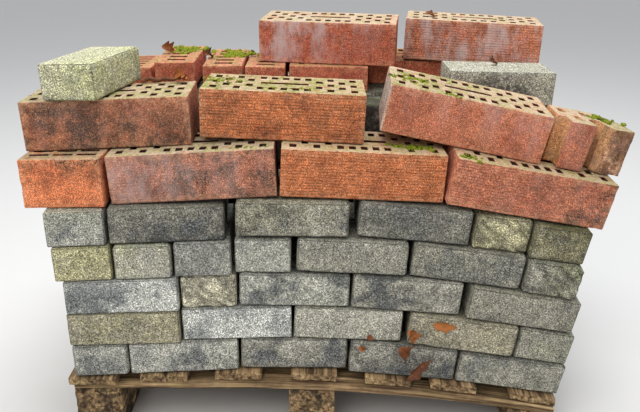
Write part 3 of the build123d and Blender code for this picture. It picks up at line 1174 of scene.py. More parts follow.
@dataclass(frozen=True)
class Look:
    """Surface marks of one piece.

    Args:
        tone: Plain colour that it starts from.
        cloud: Pale and dark clouds.
        grime: Dark dirt, and painted shade on pieces that lie in shade.
        algae: Green film.
        moss: Green growth.
        haze: White bloom.
        comb: Combed lines.
        crust: Chalky crust on its top.
        split: Whether its front end is a split face.
        left_end: How far its left end is bleached, from 0 to 1.
        uneven: Least and greatest brightness of the tone.
        end_from: Where the bleached end starts, from -1 to 1.
    """

    tone: Tone
    cloud: Patch = Patch(0.4)
    grime: Patch = Patch(0.2)
    algae: Patch = Patch(0.1)
    moss: Patch = Patch(0.1)
    haze: Patch = Patch()
    comb: Patch = Patch()
    crust: Patch = Patch(0.8)
    split: bool = False
    left_end: float = 0.0
    uneven: tuple[float, float] = (0.95, 1.05)
    end_from: float = -0.98

    def marks(self, block: Block, points: Array, edge: Array, seed: int) -> dict[str, Array]:
        """Attributes of the piece.

        Args:
            block: Its box.
            points: Its vertices in the box frame.
            edge: Edge nearness of each vertex.
            seed: Its number.

        Returns:
            Attribute names and values.
        """
        right, up = block.spread(points)
        names = ("cloud", "grime", "algae", "moss", "haze", "comb", "crust")
        patches = {name: getattr(self, name).over(right, up) for name in names}
        tint = np.array(self.tone.value) * np.random.default_rng(seed).uniform(*self.uneven)
        ending = (self.left_end * (right < self.end_from))[:, None]
        tints = tint * (1.0 - ending) + np.array(Tone.BONE.value) * ending
        return {"tint": tints, "spot": points + pattern_shift(seed), "edge": edge, **patches}


def pattern_shift(seed: int) -> Array:
    """Offset that sets one piece's pattern apart from the rest.

    Args:
        seed: Number of the piece.

    Returns:
        The offset in metres, level.
    """
    return np.random.default_rng(seed + 9000).uniform(-20.0, 20.0, 3) * np.array([1.0, 1.0, 0.0])


@dataclass
class PaverStack:
    """The concrete pavers, one course after another.

    Args:
        finish: Their material.
        smooth: Wear of most pavers.
        tumbled: Wear of every third paver and of the split ones.
        near: Distances from each edge that get a grid line.
        step: Spacing of the grid lines between.
        split_step: That spacing on a split face.
        rough_face: Depth of a split face's ridges.
        face_depth: How far behind a split face its ridges fade out.
        ridge_size: Length and height of those ridges.
        nodes: Nodes of pavers, from the deck up.
        first_seed: Number before that of the first paver.
    """

    finish: bpy.types.Material
    smooth: Wear = Wear(3.6 * MM, 0.5 * MM, 18 * MM, 4, 7 * MM)
    tumbled: Wear = Wear(6.5 * MM, 0.9 * MM, 15 * MM, 6, 10 * MM)
    near: tuple[float, float, float] = (1.4 * MM, 3.6 * MM, 8.0 * MM)
    step: float = 13.0 * MM
    split_step: float = 3.0 * MM
    rough_face: float = 7.0 * MM
    face_depth: float = 12.0 * MM
    ridge_size: tuple[float, float] = (22.0 * MM, 9.0 * MM)
    nodes: tuple[str, ...] = (
        *(f"paver_course_{number}" for number in range(1, 6)),
        "rear_course_6",
        "rear_course_7",
        "loose_paver_left",
        "loose_paver_right",
    )
    first_seed: int = 100

    def palette(self) -> list[Look]:
        """Looks of the pavers that the photo doesn't show.

        Returns:
            The looks, dealt out in turn.
        """
        return [
            Look(Tone.STONE, Patch(0.6), Patch(0.35), Patch(0.2)),
            Look(Tone.PALE, Patch(0.3), Patch(0.2)),
            Look(Tone.ASH, Patch(0.9), Patch(0.3)),
            Look(Tone.DUN, Patch(0.4), Patch(0.3), Patch(0.45), Patch(0.25)),
            Look(Tone.SLATE, Patch(0.5), Patch(0.35), Patch(0.25), Patch(0.15)),
        ]

    def front_looks(self) -> dict[str, list[Look]]:
        """Looks of the front rows.

        Returns:
            For each node the looks of its front pavers, left to right.
        """
        blue, calm = Patch(1.0), Patch(0.25)
        left = Look(Tone.MINT, Patch(0.05), Patch(0.2, -0.3, -0.9), Patch(0.6, 0.7), Patch(0.0))
        right = Look(Tone.PALE, Patch(0.1), Patch(1.2, 0.1, -0.4, 1.1), Patch(0.25), Patch(0.0))
        return {
            "paver_course_1": [
                Look(Tone.ASH, Patch(0.8), Patch(0.2), Patch(0.1)),
                Look(Tone.ASH, Patch(1.0, 0.4, -0.5), Patch(0.3, 0.5, -0.8)),
                Look(Tone.STONE, Patch(1.0, 0.0, 0.4), Patch(0.2), Patch(0.0)),
                Look(Tone.COAL, blue, Patch(0.35), Patch(0.05)),
                Look(Tone.STONE, Patch(0.6), Patch(0.25, 0.0, -0.6), Patch(0.1)),
            ],
            "paver_course_2": [
                Look(Tone.DUN, calm, Patch(0.15), Patch(0.55, -0.3)),
                Look(Tone.FOG, Patch(0.6, -0.3), Patch(0.2, 0.3, 0.6), Patch(0.0)),
                Look(Tone.PALE, calm, Patch(0.15, 0.0, -0.5), Patch(0.1)),
                Look(Tone.DUN, Patch(0.3), Patch(0.2, 0.0, 0.6), Patch(0.3)),
                Look(Tone.STONE, calm, Patch(0.25), Patch(0.35, 0.3)),
            ],
            "paver_course_3": [
                Look(Tone.FOG, Patch(1.0, -0.2, -0.5), Patch(0.1), Patch(0.05)),
                Look(Tone.BONE, calm, Patch(0.25), Patch(0.25), Patch(0.1), split=True),
                Look(Tone.ASH, Patch(1.0, -0.2, 0.2), Patch(0.25), Patch(0.2)),
                Look(Tone.STONE, blue, Patch(0.4), Patch(0.05)),
                Look(Tone.SLATE, Patch(0.4), Patch(0.3, 0.5, -0.3), Patch(0.15)),
            ],
            "paver_course_4": [
                Look(Tone.SAND, calm, Patch(0.1), Patch(0.5), Patch(0.2)),
                Look(Tone.PALE, calm, Patch(0.15, 0.0, 0.5), Patch(0.35, -0.7, 0.6), Patch(0.2)),
                Look(Tone.ASH, Patch(0.5), Patch(0.25), Patch(0.1)),
                Look(Tone.ASH, calm, Patch(0.15), Patch(0.15)),
                Look(Tone.STONE, calm, Patch(0.2, -0.4), Patch(0.15)),
                Look(Tone.SLATE, Patch(0.6), Patch(0.3), Patch(0.1)),
                Look(Tone.STONE, calm, Patch(0.45), Patch(0.6, 0.8), Patch(0.3), split=True),
            ],
            "paver_course_5": [
                Look(Tone.ASH, Patch(0.9, 0.0, -1.0), Patch(0.2), Patch(0.2, 0.0, 0.8), Patch(0.3)),
                Look(Tone.COAL, Patch(0.8, 0.3, -0.8), Patch(0.4, 0.4, -0.7), Patch(0.1), Patch(0.2)),
                Look(Tone.SLATE, Patch(0.6, 0.5, -0.6), Patch(0.4, -0.6, 0.2), Patch(0.3, -0.5), Patch(0.2)),
                Look(Tone.COAL, Patch(0.5), Patch(0.25, -0.4, 0.2), Patch(0.1), Patch(0.2)),
                Look(Tone.SAND, calm, Patch(0.5), Patch(0.3), Patch(0.2), split=True),
                Look(Tone.LICHEN, Patch(0.5, -0.4), Patch(0.5, 0.2, 0.5), Patch(0.45, 0.3, 0.3), Patch(0.4)),
            ],
            "loose_paver_left": [left],
            "loose_paver_right": [right],
        }

    def rear_shaded_look(self, front: bool) -> Look:
        """Look of a rear paver: dark tone and grime, partly dirt and partly painted shade, strongest on those
        under the front bricks.
        """
        return Look(Tone.COAL, Patch(0.9), Patch(1.0 if front else 0.5), Patch(0.2), Patch(0.5))

    def look_of(self, name: str, block: Block, rank: int, seed: int) -> Look:
        """Look of one paver.

        Args:
            name: Its node.
            block: Its box.
            rank: Its place in the front row, or a large number for those behind.
            seed: Its number.

        Returns:
            The look.
        """
        if name.startswith("rear") and (seed % 3 or block.origin[1] < 0.06):
            # Most rear pavers get the dark look, which carries painted shade.
            return self.rear_shaded_look(block.origin[1] < 0.0)
        looks = self.front_looks().get(name, [])
        palette = self.palette()
        return looks[rank] if rank < len(looks) else palette[seed * 7 % len(palette)]

    def split_face(self, sharp: Array, worn: Array, half: Array, seed: int) -> tuple[Array, Array]:
        """Break the front end of a paver into slanted ridges, with painted shade and light on them.

        Args:
            sharp: Points of the paver before it was worn.
            worn: The same points afterwards.
            half: Half its length, width and height.
            seed: Its number.

        Returns:
            The broken points, and the painted shade and light of each of them: darker in the hollows, lighter
            on the ridges.
        """
        face = np.clip((-sharp[:, 0] - half[0] + self.face_depth) / self.face_depth, 0.0, 1.0)
        slant = sharp @ np.array([[1.0, 0.0, 0.0], [0.0, 0.8, -0.6], [0.0, 0.6, 0.8]])
        slant = slant / np.array([1.0, *self.ridge_size]) * np.array([0.0, 1.0, 1.0])
        bite = np.clip(0.5 + 1.3 * fractal(slant + seed, seed, 4), 0.0, 1.0)
        broken = worn.copy()
        broken[:, 0] += face * bite * self.rough_face
        # Painted shade in the hollows of the ridges and painted light on their crests.
        return np.clip(broken, -half, half), 1.0 + face * (0.35 - 0.85 * bite)

    def paver(self, block: Block, look: Look, seed: int) -> tuple[Array, Array, Array, Array]:
        """Mesh of one paver.

        Args:
            block: The CAD solid.
            look: Its surface marks.
            seed: Its number.

        Returns:
            Points in the box frame, quads, edge nearness and the painted shade and light of each point.
        """
        half = block.size / 2
        face_step = self.split_step if look.split else self.step
        steps = (self.step, face_step, face_step)
        lines = [edge_lines(span, self.near, step) for span, step in zip(block.size, steps)]
        piece = Piece.from_faces(side_faces(lines, (0, 1, 2)))
        wear = self.tumbled if seed % 3 == 0 or look.split else self.smooth
        points, edge = wear.apply(piece.points, half, seed)
        light = np.ones(len(points))
        if look.split:
            points, light = self.split_face(piece.points, points, half, seed)
        return points, piece.quads, edge, light

    def build(self) -> None:
        """Build and dress every node of pavers."""
        seed = self.first_seed
        for name in self.nodes:
            pile = MeshPile()
            blocks = [box_of(*island) for island in islands(name)]
            blocks.sort(key=lambda block: (round(block.origin[1], 2), block.origin[0]))
            shown = [b for b in blocks if b.corners[:, 1].min() < FRONT_LIMIT or "loose" in name]
            shown.sort(key=lambda block: block.origin[0])
            for block in blocks:
                seed += 1
                rank = next((i for i, b in enumerate(shown) if b is block), len(blocks))
                look = self.look_of(name, block, rank, seed)
                points, quads, edge, light = self.paver(block, look, seed)
                marks = look.marks(block, points, edge, seed)
                # Painted shade and light on the split faces.
                marks["tint"] = marks["tint"] * light[:, None]
                pile.add(block.to_world(points), quads, **marks)
            made = pile.build(f"{name}_look", self.finish)
            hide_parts(name)
            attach(made, "root")
            log.info("%s: %d pavers", name, len(blocks))


@dataclass
class BrickRows:
    """The perforated clay bricks.

    Args:
        finish: Their material.
        wear: How worn they are.
        near: Distances from each edge that get a grid line.
        step: Spacing of the grid lines up the sides.
        widest: Widest cell of the grid on the top.
        filled: Spacing of the lines that fill a wider one.
        closest: Distance under which two grid lines count as one.
        jitter: How uneven the walls of the holes are.
        lump: Size of that unevenness.
        probes: Where in a hole the solid is tested, as parts of its length and width.
        first_seed: Number before that of the first brick.
    """

    finish: bpy.types.Material
    wear: Wear = Wear(2.2 * MM, 0.3 * MM, 22 * MM, 4, 5 * MM)
    near: tuple[float, float, float] = (0.8 * MM, 2.2 * MM, 5.0 * MM)
    step: float = 12.0 * MM
    widest: float = 12.0 * MM
    filled: float = 9.0 * MM
    closest: float = 0.15 * MM
    jitter: float = 0.9 * MM
    lump: float = 7.0 * MM
    probes: tuple[tuple[float, float], ...] = ((0.08, 0.13), (0.37, 0.44), (0.92, 0.83), (0.11, 0.88))
    first_seed: int = 500

    def looks(self) -> dict[str, list[Look]]:
        """Looks of the bricks.

        Returns:
            For each node the looks of its bricks, left to right. The last serves all that follow.
        """
        rose = Look(
            Tone.ROSE,
            grime=Patch(1.0, 0.35, 0.0, 0.5),
            moss=Patch(0.6),
            haze=Patch(0.3, -0.6),
            comb=Patch(0.5),
        )
        right = Look(
            Tone.CLAY, grime=Patch(0.5, 1.0, -0.3), moss=Patch(0.6), haze=Patch(0.1), comb=Patch(0.7, -0.5)
        )
        dusk = Look(
            Tone.DUSK, grime=Patch(1.0, -0.5, -0.5), moss=Patch(0.7), haze=Patch(0.1), comb=Patch(0.2)
        )
        tilted = Look(
            Tone.CLAY,
            grime=Patch(0.15, -0.8),
            moss=Patch(0.85, -0.8),
            haze=Patch(0.15, 0.8, 0.8),
            comb=Patch(0.15),
            left_end=0.75,
        )
        hazy = Look(
            Tone.RED, grime=Patch(0.25), moss=Patch(0.4), haze=Patch(0.6, -1.0, 0.4), comb=Patch(0.2)
        )
        white = Look(
            Tone.CLAY, grime=Patch(0.35, -0.4), moss=Patch(0.35), haze=Patch(0.85), comb=Patch(0.8)
        )
        return {
            "end_on_brick": [
                Look(Tone.AMBER, grime=Patch(0.3, -0.2, 2.6), moss=Patch(0.3), crust=Patch(0.55))
            ],
            "lower_brick_course": [
                rose,
                Look(Tone.ORANGE, grime=Patch(0.25), moss=Patch(0.5), comb=Patch(1.0)),
                right,
            ],
            "upper_brick_course": [
                dusk,
                Look(Tone.ORANGE, grime=Patch(0.5, -0.2), moss=Patch(1.0, -0.2), comb=Patch(1.0)),
            ],
            "tilted_brick": [tilted],
            "rear_top_bricks": [hazy, white],
            "rear_small_bricks": [Look(Tone.RED, grime=Patch(0.2), moss=Patch(0.6), crust=Patch(0.22))],
        }

    def holes(self, block: Block, triangles: Array) -> list[Hole]:
        """Holes of a brick, read from the CAD solid's own upright edges.

        Args:
            block: Its box frame.
            triangles: Triangles of the solid.

        Returns:
            Left, right, front and back of each hole.
        """
        local = block.to_box(block.corners)
        same = 0.2 * MM
        top = local[:, 2] > block.size[2] / 2 - same / 2
        links = np.concatenate([triangles[:, [0, 1]], triangles[:, [1, 2]], triangles[:, [2, 0]]])
        rising = top[links[:, 0]] ^ top[links[:, 1]]
        upright = np.linalg.norm((local[links[:, 0]] - local[links[:, 1]])[:, :2], axis=1) < same / 2
        ends = links[rising & upright]
        spots = np.unique(np.round(local[ends.ravel()][:, :2] / (0.1 * MM)), axis=0) * 0.1 * MM
        inside = (np.abs(spots) < block.size[:2] / 2 - 1.0 * MM).all(axis=1)
        spots = spots[inside]
        found = []
        for x, y in spots:
            right = spots[(np.abs(spots[:, 1] - y) < same) & (spots[:, 0] > x + same)]
            back = spots[(np.abs(spots[:, 0] - x) < same) & (spots[:, 1] > y + same)]
            if not len(right) or not len(back):
                continue
            far_x, far_y = right[:, 0].min(), back[:, 1].min()
            span = np.array([far_x - x, far_y - y])
            tests = [np.array([x, y]) + span * part for part in self.probes]
            if all(self.open_at(local, triangles, spot) for spot in tests):
                found.append((x, far_x, y, far_y))
        return found

    @staticmethod
    def open_at(local: Array, triangles: Array, spot: Array) -> bool:
        """Whether no face of the solid covers a spot in plan.

        Args:
            local: Vertices in the box frame.
            triangles: Triangles of the solid.
            spot: The spot.

        Returns:
            True where it is open.
        """
        a, b, c = (local[triangles[:, side]][:, :2] for side in range(3))
        turns = []
        for start, end in ((a, b), (b, c), (c, a)):
            way = end - start
            off = spot - start
            turns.append(way[:, 0] * off[:, 1] - way[:, 1] * off[:, 0])
        turns = np.array(turns)
        area = np.abs((b - a)[:, 0] * (c - a)[:, 1] - (b - a)[:, 1] * (c - a)[:, 0])
        covered = (area > 1e-9) & ((turns > 1e-12).all(axis=0) | (turns < -1e-12).all(axis=0))
        return not covered.any()

    def thinned(self, values: set[float]) -> Array:
        """Grid lines with near-doubles left out and wide spans filled.

        Args:
            values: Positions of the lines.

        Returns:
            The lines in order.
        """
        ordered = sorted(values)
        kept = [ordered[0]]
        for value in ordered[1:]:
            if value - kept[-1] > self.widest:
                count = int((value - kept[-1]) / self.filled) + 2
                kept.extend(np.linspace(kept[-1], value, count)[1:-1])
            if value - kept[-1] > self.closest:
                kept.append(value)
        return np.array(kept)

    def brick(self, block: Block, holes: list[Hole], seed: int) -> tuple[Array, Array, Array]:
        """Mesh of one brick with its holes.

        Args:
            block: The CAD solid.
            holes: Its holes.
            seed: Its number.

        Returns:
            Points in the box frame, quads and edge nearness.
        """
        half = block.size / 2
        lines = []
        for axis in range(2):
            rim = edge_lines(block.size[axis], self.near, 1.0)
            places = set(np.round(rim[[0, 1, 2, 3, -4, -3, -2, -1]], 6))
            for hole in holes:
                low, high = hole[2 * axis : 2 * axis + 2]
                places |= {round(low, 6), round((low + high) / 2, 6), round(high, 6)}
            lines.append(self.thinned(places))
        lines.append(edge_lines(block.size[2], self.near, self.step))
        piece = perforated_piece(lines, holes)
        points, edge = self.wear.apply(piece.points, half, seed)
        inner = (np.abs(piece.points[:, :2]) < half[:2] - self.near[-1] - 0.5 * MM).all(axis=1)
        swing = [fractal(piece.points / self.lump + 31 * k, seed + k, 2) for k in range(2)]
        points[:, :2] += np.where(inner[:, None], np.stack(swing, axis=1) * self.jitter, 0.0)
        return points, piece.quads, edge

    def build(self) -> None:
        """Build and dress every node of whole bricks."""
        seed = self.first_seed
        for name, looks in self.looks().items():
            pile = MeshPile()
            found = [(box_of(*island), island[1]) for island in islands(name)]
            found.sort(key=lambda pair: pair[0].origin[0])
            for rank, (block, triangles) in enumerate(found):
                seed += 1
                look = looks[min(rank, len(looks) - 1)]
                holes = self.holes(block, triangles)
                points, quads, edge = self.brick(block, holes, seed)
                # Points inside the holes, where painted shade darkens the clay.
                hollow_shade = (np.abs(points[:, :2]) < block.size[:2] / 2 - self.near[-1]).all(axis=1)
                hollow_shade &= np.abs(points[:, 2]) < block.size[2] / 2 - 1.2 * MM
                marks = look.marks(block, points, edge, seed)
                pile.add(block.to_world(points), quads, inner=hollow_shade, **marks)
                log.info("%s %d: %d holes", name, rank, len(holes))
            made = pile.build(f"{name}_look", self.finish)
            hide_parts(name)
            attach(made, "root")


@dataclass
class BrokenBrick:
    """The broken brick, remeshed from its CAD solid with fracture relief.

    Args:
        finish: Its material.
        node: Its node.
        seed: Its number.
        shrink: How much smaller the mesh is than the solid, so that it stays inside.
        voxel: Size of the mesh's cells.
        soften: Rounds of smoothing.
        dust: Relief where it is whole.
        relief: Relief more where it is burst.
        lump: Size of the relief.
        burst_from: Where along it the burst end starts.
        burst_reach: Over what length it gets to full strength.
        wall_span: Where along it the broken walls start and end.
        wall_fade: Over what length their colour fades out.
        rind: How deep behind the front their colour starts.
        rim: How far from the top and the underside it stays.
        crack_size: Size of the cracks.
        wall: Colour of the broken front walls.
        crack: Colour of the cracks.
    """

    finish: bpy.types.Material
    node: str = "broken_brick"
    seed: int = 612
    shrink: float = 1.2 * MM
    voxel: float = 1.7 * MM
    soften: int = 2
    dust: float = 0.4 * MM
    relief: float = 3.4 * MM
    lump: float = 9.0 * MM
    burst_from: float = 12.0 * MM
    burst_reach: float = 20.0 * MM
    wall_span: tuple[float, float] = (2.0 * MM, 34.0 * MM)
    wall_fade: float = 6.0 * MM
    rind: float = 5.0 * MM
    rim: float = 2.0 * MM
    crack_size: float = 26.0 * MM
    wall: Colour = linear(232, 170, 104)
    crack: Colour = linear(224, 188, 150)

    def remesh(self, local: Array, triangles: Array) -> tuple[Array, Array, Array]:
        """Even mesh of the solid.

        Args:
            local: Its vertices in the box frame.
            triangles: Its triangles.

        Returns:
            Points, their normals and the quads.
        """
        mesh = bpy.data.meshes.new(self.node)
        mesh.from_pydata(local.tolist(), [], triangles.tolist())
        helper = bpy.data.objects.new("broken_helper", mesh)
        bpy.context.scene.collection.objects.link(helper)
        remesh = helper.modifiers.new("voxels", "REMESH")
        remesh.mode = "VOXEL"
        remesh.voxel_size = self.voxel
        smooth = helper.modifiers.new("soften", "SMOOTH")
        smooth.iterations = self.soften
        evaluated = helper.evaluated_get(bpy.context.evaluated_depsgraph_get())
        solid = bpy.data.meshes.new_from_object(evaluated)
        bpy.data.objects.remove(helper)
        points = np.empty(len(solid.vertices) * 3)
        solid.vertices.foreach_get("co", points)
        normals = np.empty(len(solid.vertices) * 3)
        solid.vertices.foreach_get("normal", normals)
        quads = np.array([list(p.vertices) for p in solid.polygons if len(p.vertices) == 4])
        return points.reshape(-1, 3), normals.reshape(-1, 3), quads

    def marks(self, block: Block, points: Array, burst: Array) -> dict[str, Array]:
        """Surface marks: pale walls behind the broken front, a dark burst end and its cracks.

        Args:
            block: Its box.
            points: Its vertices in the box frame.
            burst: How burst each of them is.

        Returns:
            Attribute names and values.
        """
        half = block.size / 2
        look = Look(Tone.CLAY, grime=Patch(0.45, 0.8), moss=Patch(0.5, 0.9), haze=Patch(0.2))
        left, right = self.wall_span
        wall = np.clip((points[:, 0] - left) / self.wall_fade, 0.0, 1.0)
        wall = wall * np.clip((right - points[:, 0]) / self.wall_fade, 0.0, 1.0)
        marks = look.marks(block, points, np.clip(0.3 * burst + wall, 0.0, 1.0), self.seed)
        deep = np.clip((points[:, 1] + half[1] - self.rind) / self.rind, 0.0, 1.0)
        side = np.abs(points[:, 2]) < half[2] - self.rim
        cracks = np.clip(1.0 - np.abs(fractal(points / self.crack_size, 5, 3)) * 9.0, 0.0, 1.0) * burst
        paint = (deep * side * (1.0 - 0.5 * burst))[:, None]
        tint = marks["tint"] * (1.0 - paint) + paint * np.array(self.wall)
        tint = tint * (1.0 - 0.5 * burst * side)[:, None]
        marks["tint"] = tint + cracks[:, None] * np.array(self.crack) * 0.7
        return marks

    def build(self) -> None:
        """Build and dress the broken brick."""
        name = self.node
        vertices, triangles = islands(name)[0]
        block = box_of(vertices, triangles)
        local = block.to_box(vertices) * (1.0 - self.shrink / block.size)
        points, normals, quads = self.remesh(local, triangles)
        burst = np.clip((points[:, 0] - self.burst_from) / self.burst_reach, 0.0, 1.0)
        rough = 0.5 + 0.5 * fractal(points / self.lump, 77, 4)
        points = points - normals * (rough * (self.dust + burst * self.relief))[:, None]
        points = np.clip(points, -block.size / 2, block.size / 2)
        pile = MeshPile()
        marks = self.marks(block, points, burst)
        # No painted hole shade on the broken brick.
        pile.add(block.to_world(points), quads, inner=np.zeros(len(points)), **marks)
        made = pile.build(f"{name}_look", self.finish)
        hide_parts(name)
        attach(made, "root")
        log.info("%s: %d faces", name, len(quads))


@dataclass
class PalletTimber:
    """Deck boards, cross boards, blocks and bottom boards.

    Args:
        finish: Their material.
        radius: Rounding of their edges.
        near: Distances from each edge that get a grid line.
        steps: Spacing of the grid lines between, along, across and up.
        weathered: Depth of the weathered grain.
        streak: Length and thickness of that grain.
        fray: Depth of a ragged end.
        fray_reach: How far in from an end it is ragged.
        torn_size: Width and height of its splinters.
        splay: How far a ragged end is thinned.
        far_fray: How ragged a far end is, from 0 to 1.
        far_splay: How much a far end is thinned, from 0 to 1.
        edge_reach: How far in from an edge the edge mark reaches.
        touch: Distance under which two places count as one.
        thinnest: Least height of a section.
        rotten: Pieces left of here are fully ragged.
        rot: Least and greatest raggedness of the rest.
        plan: For each node the axis that its pieces lie along.
        grime: How grimy each node is, from 0 to 1; on the blocks and bottom boards it is mostly painted shade
            under the deck.
        mossy: How mossy all are.
        first_seed: Number before that of the first piece.
    """

    finish: bpy.types.Material
    radius: float = 2.0 * MM
    near: tuple[float, float, float] = (1.0 * MM, 2.2 * MM, 5.0 * MM)
    steps: tuple[float, float, float] = (16.0 * MM, 9.0 * MM, 9.0 * MM)
    weathered: float = 1.1 * MM
    streak: tuple[float, float] = (70.0 * MM, 6.0 * MM)
    fray: float = 7.0 * MM
    fray_reach: float = 30.0 * MM
    torn_size: tuple[float, float] = (9.0 * MM, 7.0 * MM)
    splay: float = 2.0 * MM
    far_fray: float = 0.35
    far_splay: float = 0.3
    edge_reach: float = 8.0 * MM
    touch: float = 0.05 * MM
    thinnest: float = 5.0 * MM
    rotten: float = -0.35
    rot: tuple[float, float] = (0.3, 0.8)
    plan: tuple[tuple[str, int], ...] = (
        ("deck_boards", 1),
        ("cross_boards", 0),
        ("blocks", 1),
        ("bottom_boards", 1),
    )
    # High on the blocks and bottom boards: painted shade under the deck.
    grime: tuple[float, ...] = (0.15, 0.25, 0.95, 0.95)
    mossy: float = 0.3
    first_seed: int = 800

    def stations(self, vertices: Array, along: int) -> Array:
        """Section corners of a board.

        Args:
            vertices: Vertices of the solid.
            along: Axis of its length, 0 or 1.

        Returns:
            For each station four corners, low and high on the near side, then on the far side.
        """
        across = 1 - along
        near_side = np.abs(vertices[:, across] - vertices[:, across].min()) < self.touch
        far_side = np.abs(vertices[:, across] - vertices[:, across].max()) < self.touch
        places = np.unique(np.round(vertices[near_side][:, along], 5))
        if along == 1:
            places = places[[0, -1]]
        rows = []
        for place in places:
            row = []
            for side in (near_side, far_side):
                ring = vertices[side & (np.abs(vertices[:, along] - place) < self.touch)]
                if not len(ring):
                    break
                row += [ring[ring[:, 2].argmin()], ring[ring[:, 2].argmax()]]
            if len(row) == 4 and row[1][2] - row[0][2] > self.thinnest:
                rows.append(row)
        return np.array(rows)

    def weather(self, points: Array, half: Array, rot: float, seed: int) -> Array:
        """Round, weather and fray a straight board.

        Args:
            points: Its points in its box frame.
            half: Half its length, width and height.
            rot: How ragged its near end is, from 0 to 1.
            seed: Its number.

        Returns:
            The worn points.
        """
        shift = np.random.default_rng(seed).uniform(-30.0, 30.0, 3)
        worn, outward, _ = rounded(points, half, self.radius)
        stretch = 1.0 / np.array([self.streak[0], self.streak[1], self.streak[1]])
        bite = 0.5 + 0.5 * fractal(points * stretch + shift, seed, 3)
        worn -= outward * (bite * self.weathered)[:, None]
        lumps = np.array([0.0, 1.0 / self.torn_size[0], 1.0 / self.torn_size[1]])
        torn = 0.5 + 0.5 * value_noise(points * lumps + shift, seed + 3)
        for end, fray, splay in ((-1.0, rot, rot), (1.0, self.far_fray, self.far_splay)):
            inward = end * points[:, 0] - half[0] + self.fray_reach
            closeness = np.clip(inward / self.fray_reach, 0.0, 1.0) ** 2
            worn[:, 0] -= end * closeness * torn * self.fray * fray
            worn[:, 2] -= closeness * np.sign(worn[:, 2]) * torn * self.splay * splay
        return np.clip(worn, -half, half)

    def board(self, vertices: Array, along: int, rot: float, seed: int) -> tuple[Array, Array, Array, Array]:
        """Mesh of one board or block.

        Args:
            vertices: Vertices of the solid.
            along: Axis of its length, 0 or 1.
            rot: How ragged its near end is, 0 to 1.
            seed: Its number.

        Returns:
            Points in the shared frame, quads, pattern positions and edge nearness.
        """
        rows = self.stations(vertices, along)
        places = rows[:, 0, along]
        width = np.linalg.norm(rows[0, 2] - rows[0, 0])
        height = np.linalg.norm(rows[0, 1] - rows[0, 0])
        size = np.array([places[-1] - places[0], width, height])
        half = size / 2
        lines = [edge_lines(span, self.near, step) for span, step in zip(size, self.steps)]
        piece = Piece.from_faces(side_faces(lines, (0, 1, 2)))
        worn = self.weather(piece.points, half, rot, seed)
        part = (worn + half) / size
        target = places[0] + part[:, 0] * size[0]
        corners = [
            np.stack([np.interp(target, places, rows[:, corner, axis]) for axis in range(3)], axis=1)
            for corner in range(4)
        ]
        low = corners[0] + (corners[2] - corners[0]) * part[:, 1:2]
        high = corners[1] + (corners[3] - corners[1]) * part[:, 1:2]
        points = low + (high - low) * part[:, 2:]
        edge = edge_nearness(piece.points, half, self.edge_reach)
        quads = piece.quads if along == 0 else piece.quads[:, ::-1]
        return points, quads, worn + pattern_shift(seed), edge

    def build(self) -> None:
        """Build and dress the four wooden nodes."""
        seed = self.first_seed
        for (name, along), grime in zip(self.plan, self.grime):
            pile = MeshPile()
            found = [island[0] for island in islands(name)]
            found.sort(key=lambda vertices: (vertices[:, 0].mean(), vertices[:, 1].mean()))
            for vertices in found:
                seed += 1
                rng = np.random.default_rng(seed)
                rot = 1.0 if vertices[:, 0].mean() < self.rotten else rng.uniform(*self.rot)
                points, quads, spots, edge = self.board(vertices, along, rot, seed)
                even = np.ones(len(points))
                pile.add(points, quads, spot=spots, edge=edge, grime=grime * even, moss=self.mossy * even)
            made = pile.build(f"{name}_look", self.finish)
            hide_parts(name)
            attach(made, "root")
            log.info("%s: %d pieces", name, len(found))


@dataclass(frozen=True)
class Spot:
    """Place on one piece of a node.

    Args:
        node: Name of the node.
        rank: Which of its front pieces, counted from the left.
        right: How far right on the piece, from -1 to 1.
        back: How far back, from -1 to 1.
        up: How far up, from -1 to 1.
    """

    node: str
    rank: int
    right: float
    back: float
    up: float = 1.0

    def find(self) -> tuple[Array, Array]:
        """Where it is.

        Returns:
            World place, and the axes right, back and up there.
        """
        blocks = [box_of(*island) for island in islands(self.node)]
        if self.node.startswith("paver_course"):
            blocks = [b for b in blocks if b.corners[:, 1].min() < FRONT_LIMIT]
        block = sorted(blocks, key=lambda b: b.origin[0])[self.rank]
        axes, size = block.axes, block.size
        if abs(axes[0, 0]) < abs(axes[0, 1]):
            axes = np.array([-axes[1], axes[0], axes[2]])
            size = size[[1, 0, 2]]
        part = np.array([self.right, self.back, self.up])
        return block.origin + (part * size / 2) @ axes, axes


def turn_about(axis: int, degrees: float) -> Array:
    """Matrix that turns row vectors about one axis.

    Args:
        axis: 0, 1 or 2.
        degrees: How far.

    Returns:
        The matrix.
    """
    angle = math.radians(degrees)
    first, second = (axis + 1) % 3, (axis + 2) % 3
    matrix = np.eye(3)
    matrix[first, first] = matrix[second, second] = math.cos(angle)
    matrix[first, second] = math.sin(angle)
    matrix[second, first] = -math.sin(angle)
    return matrix


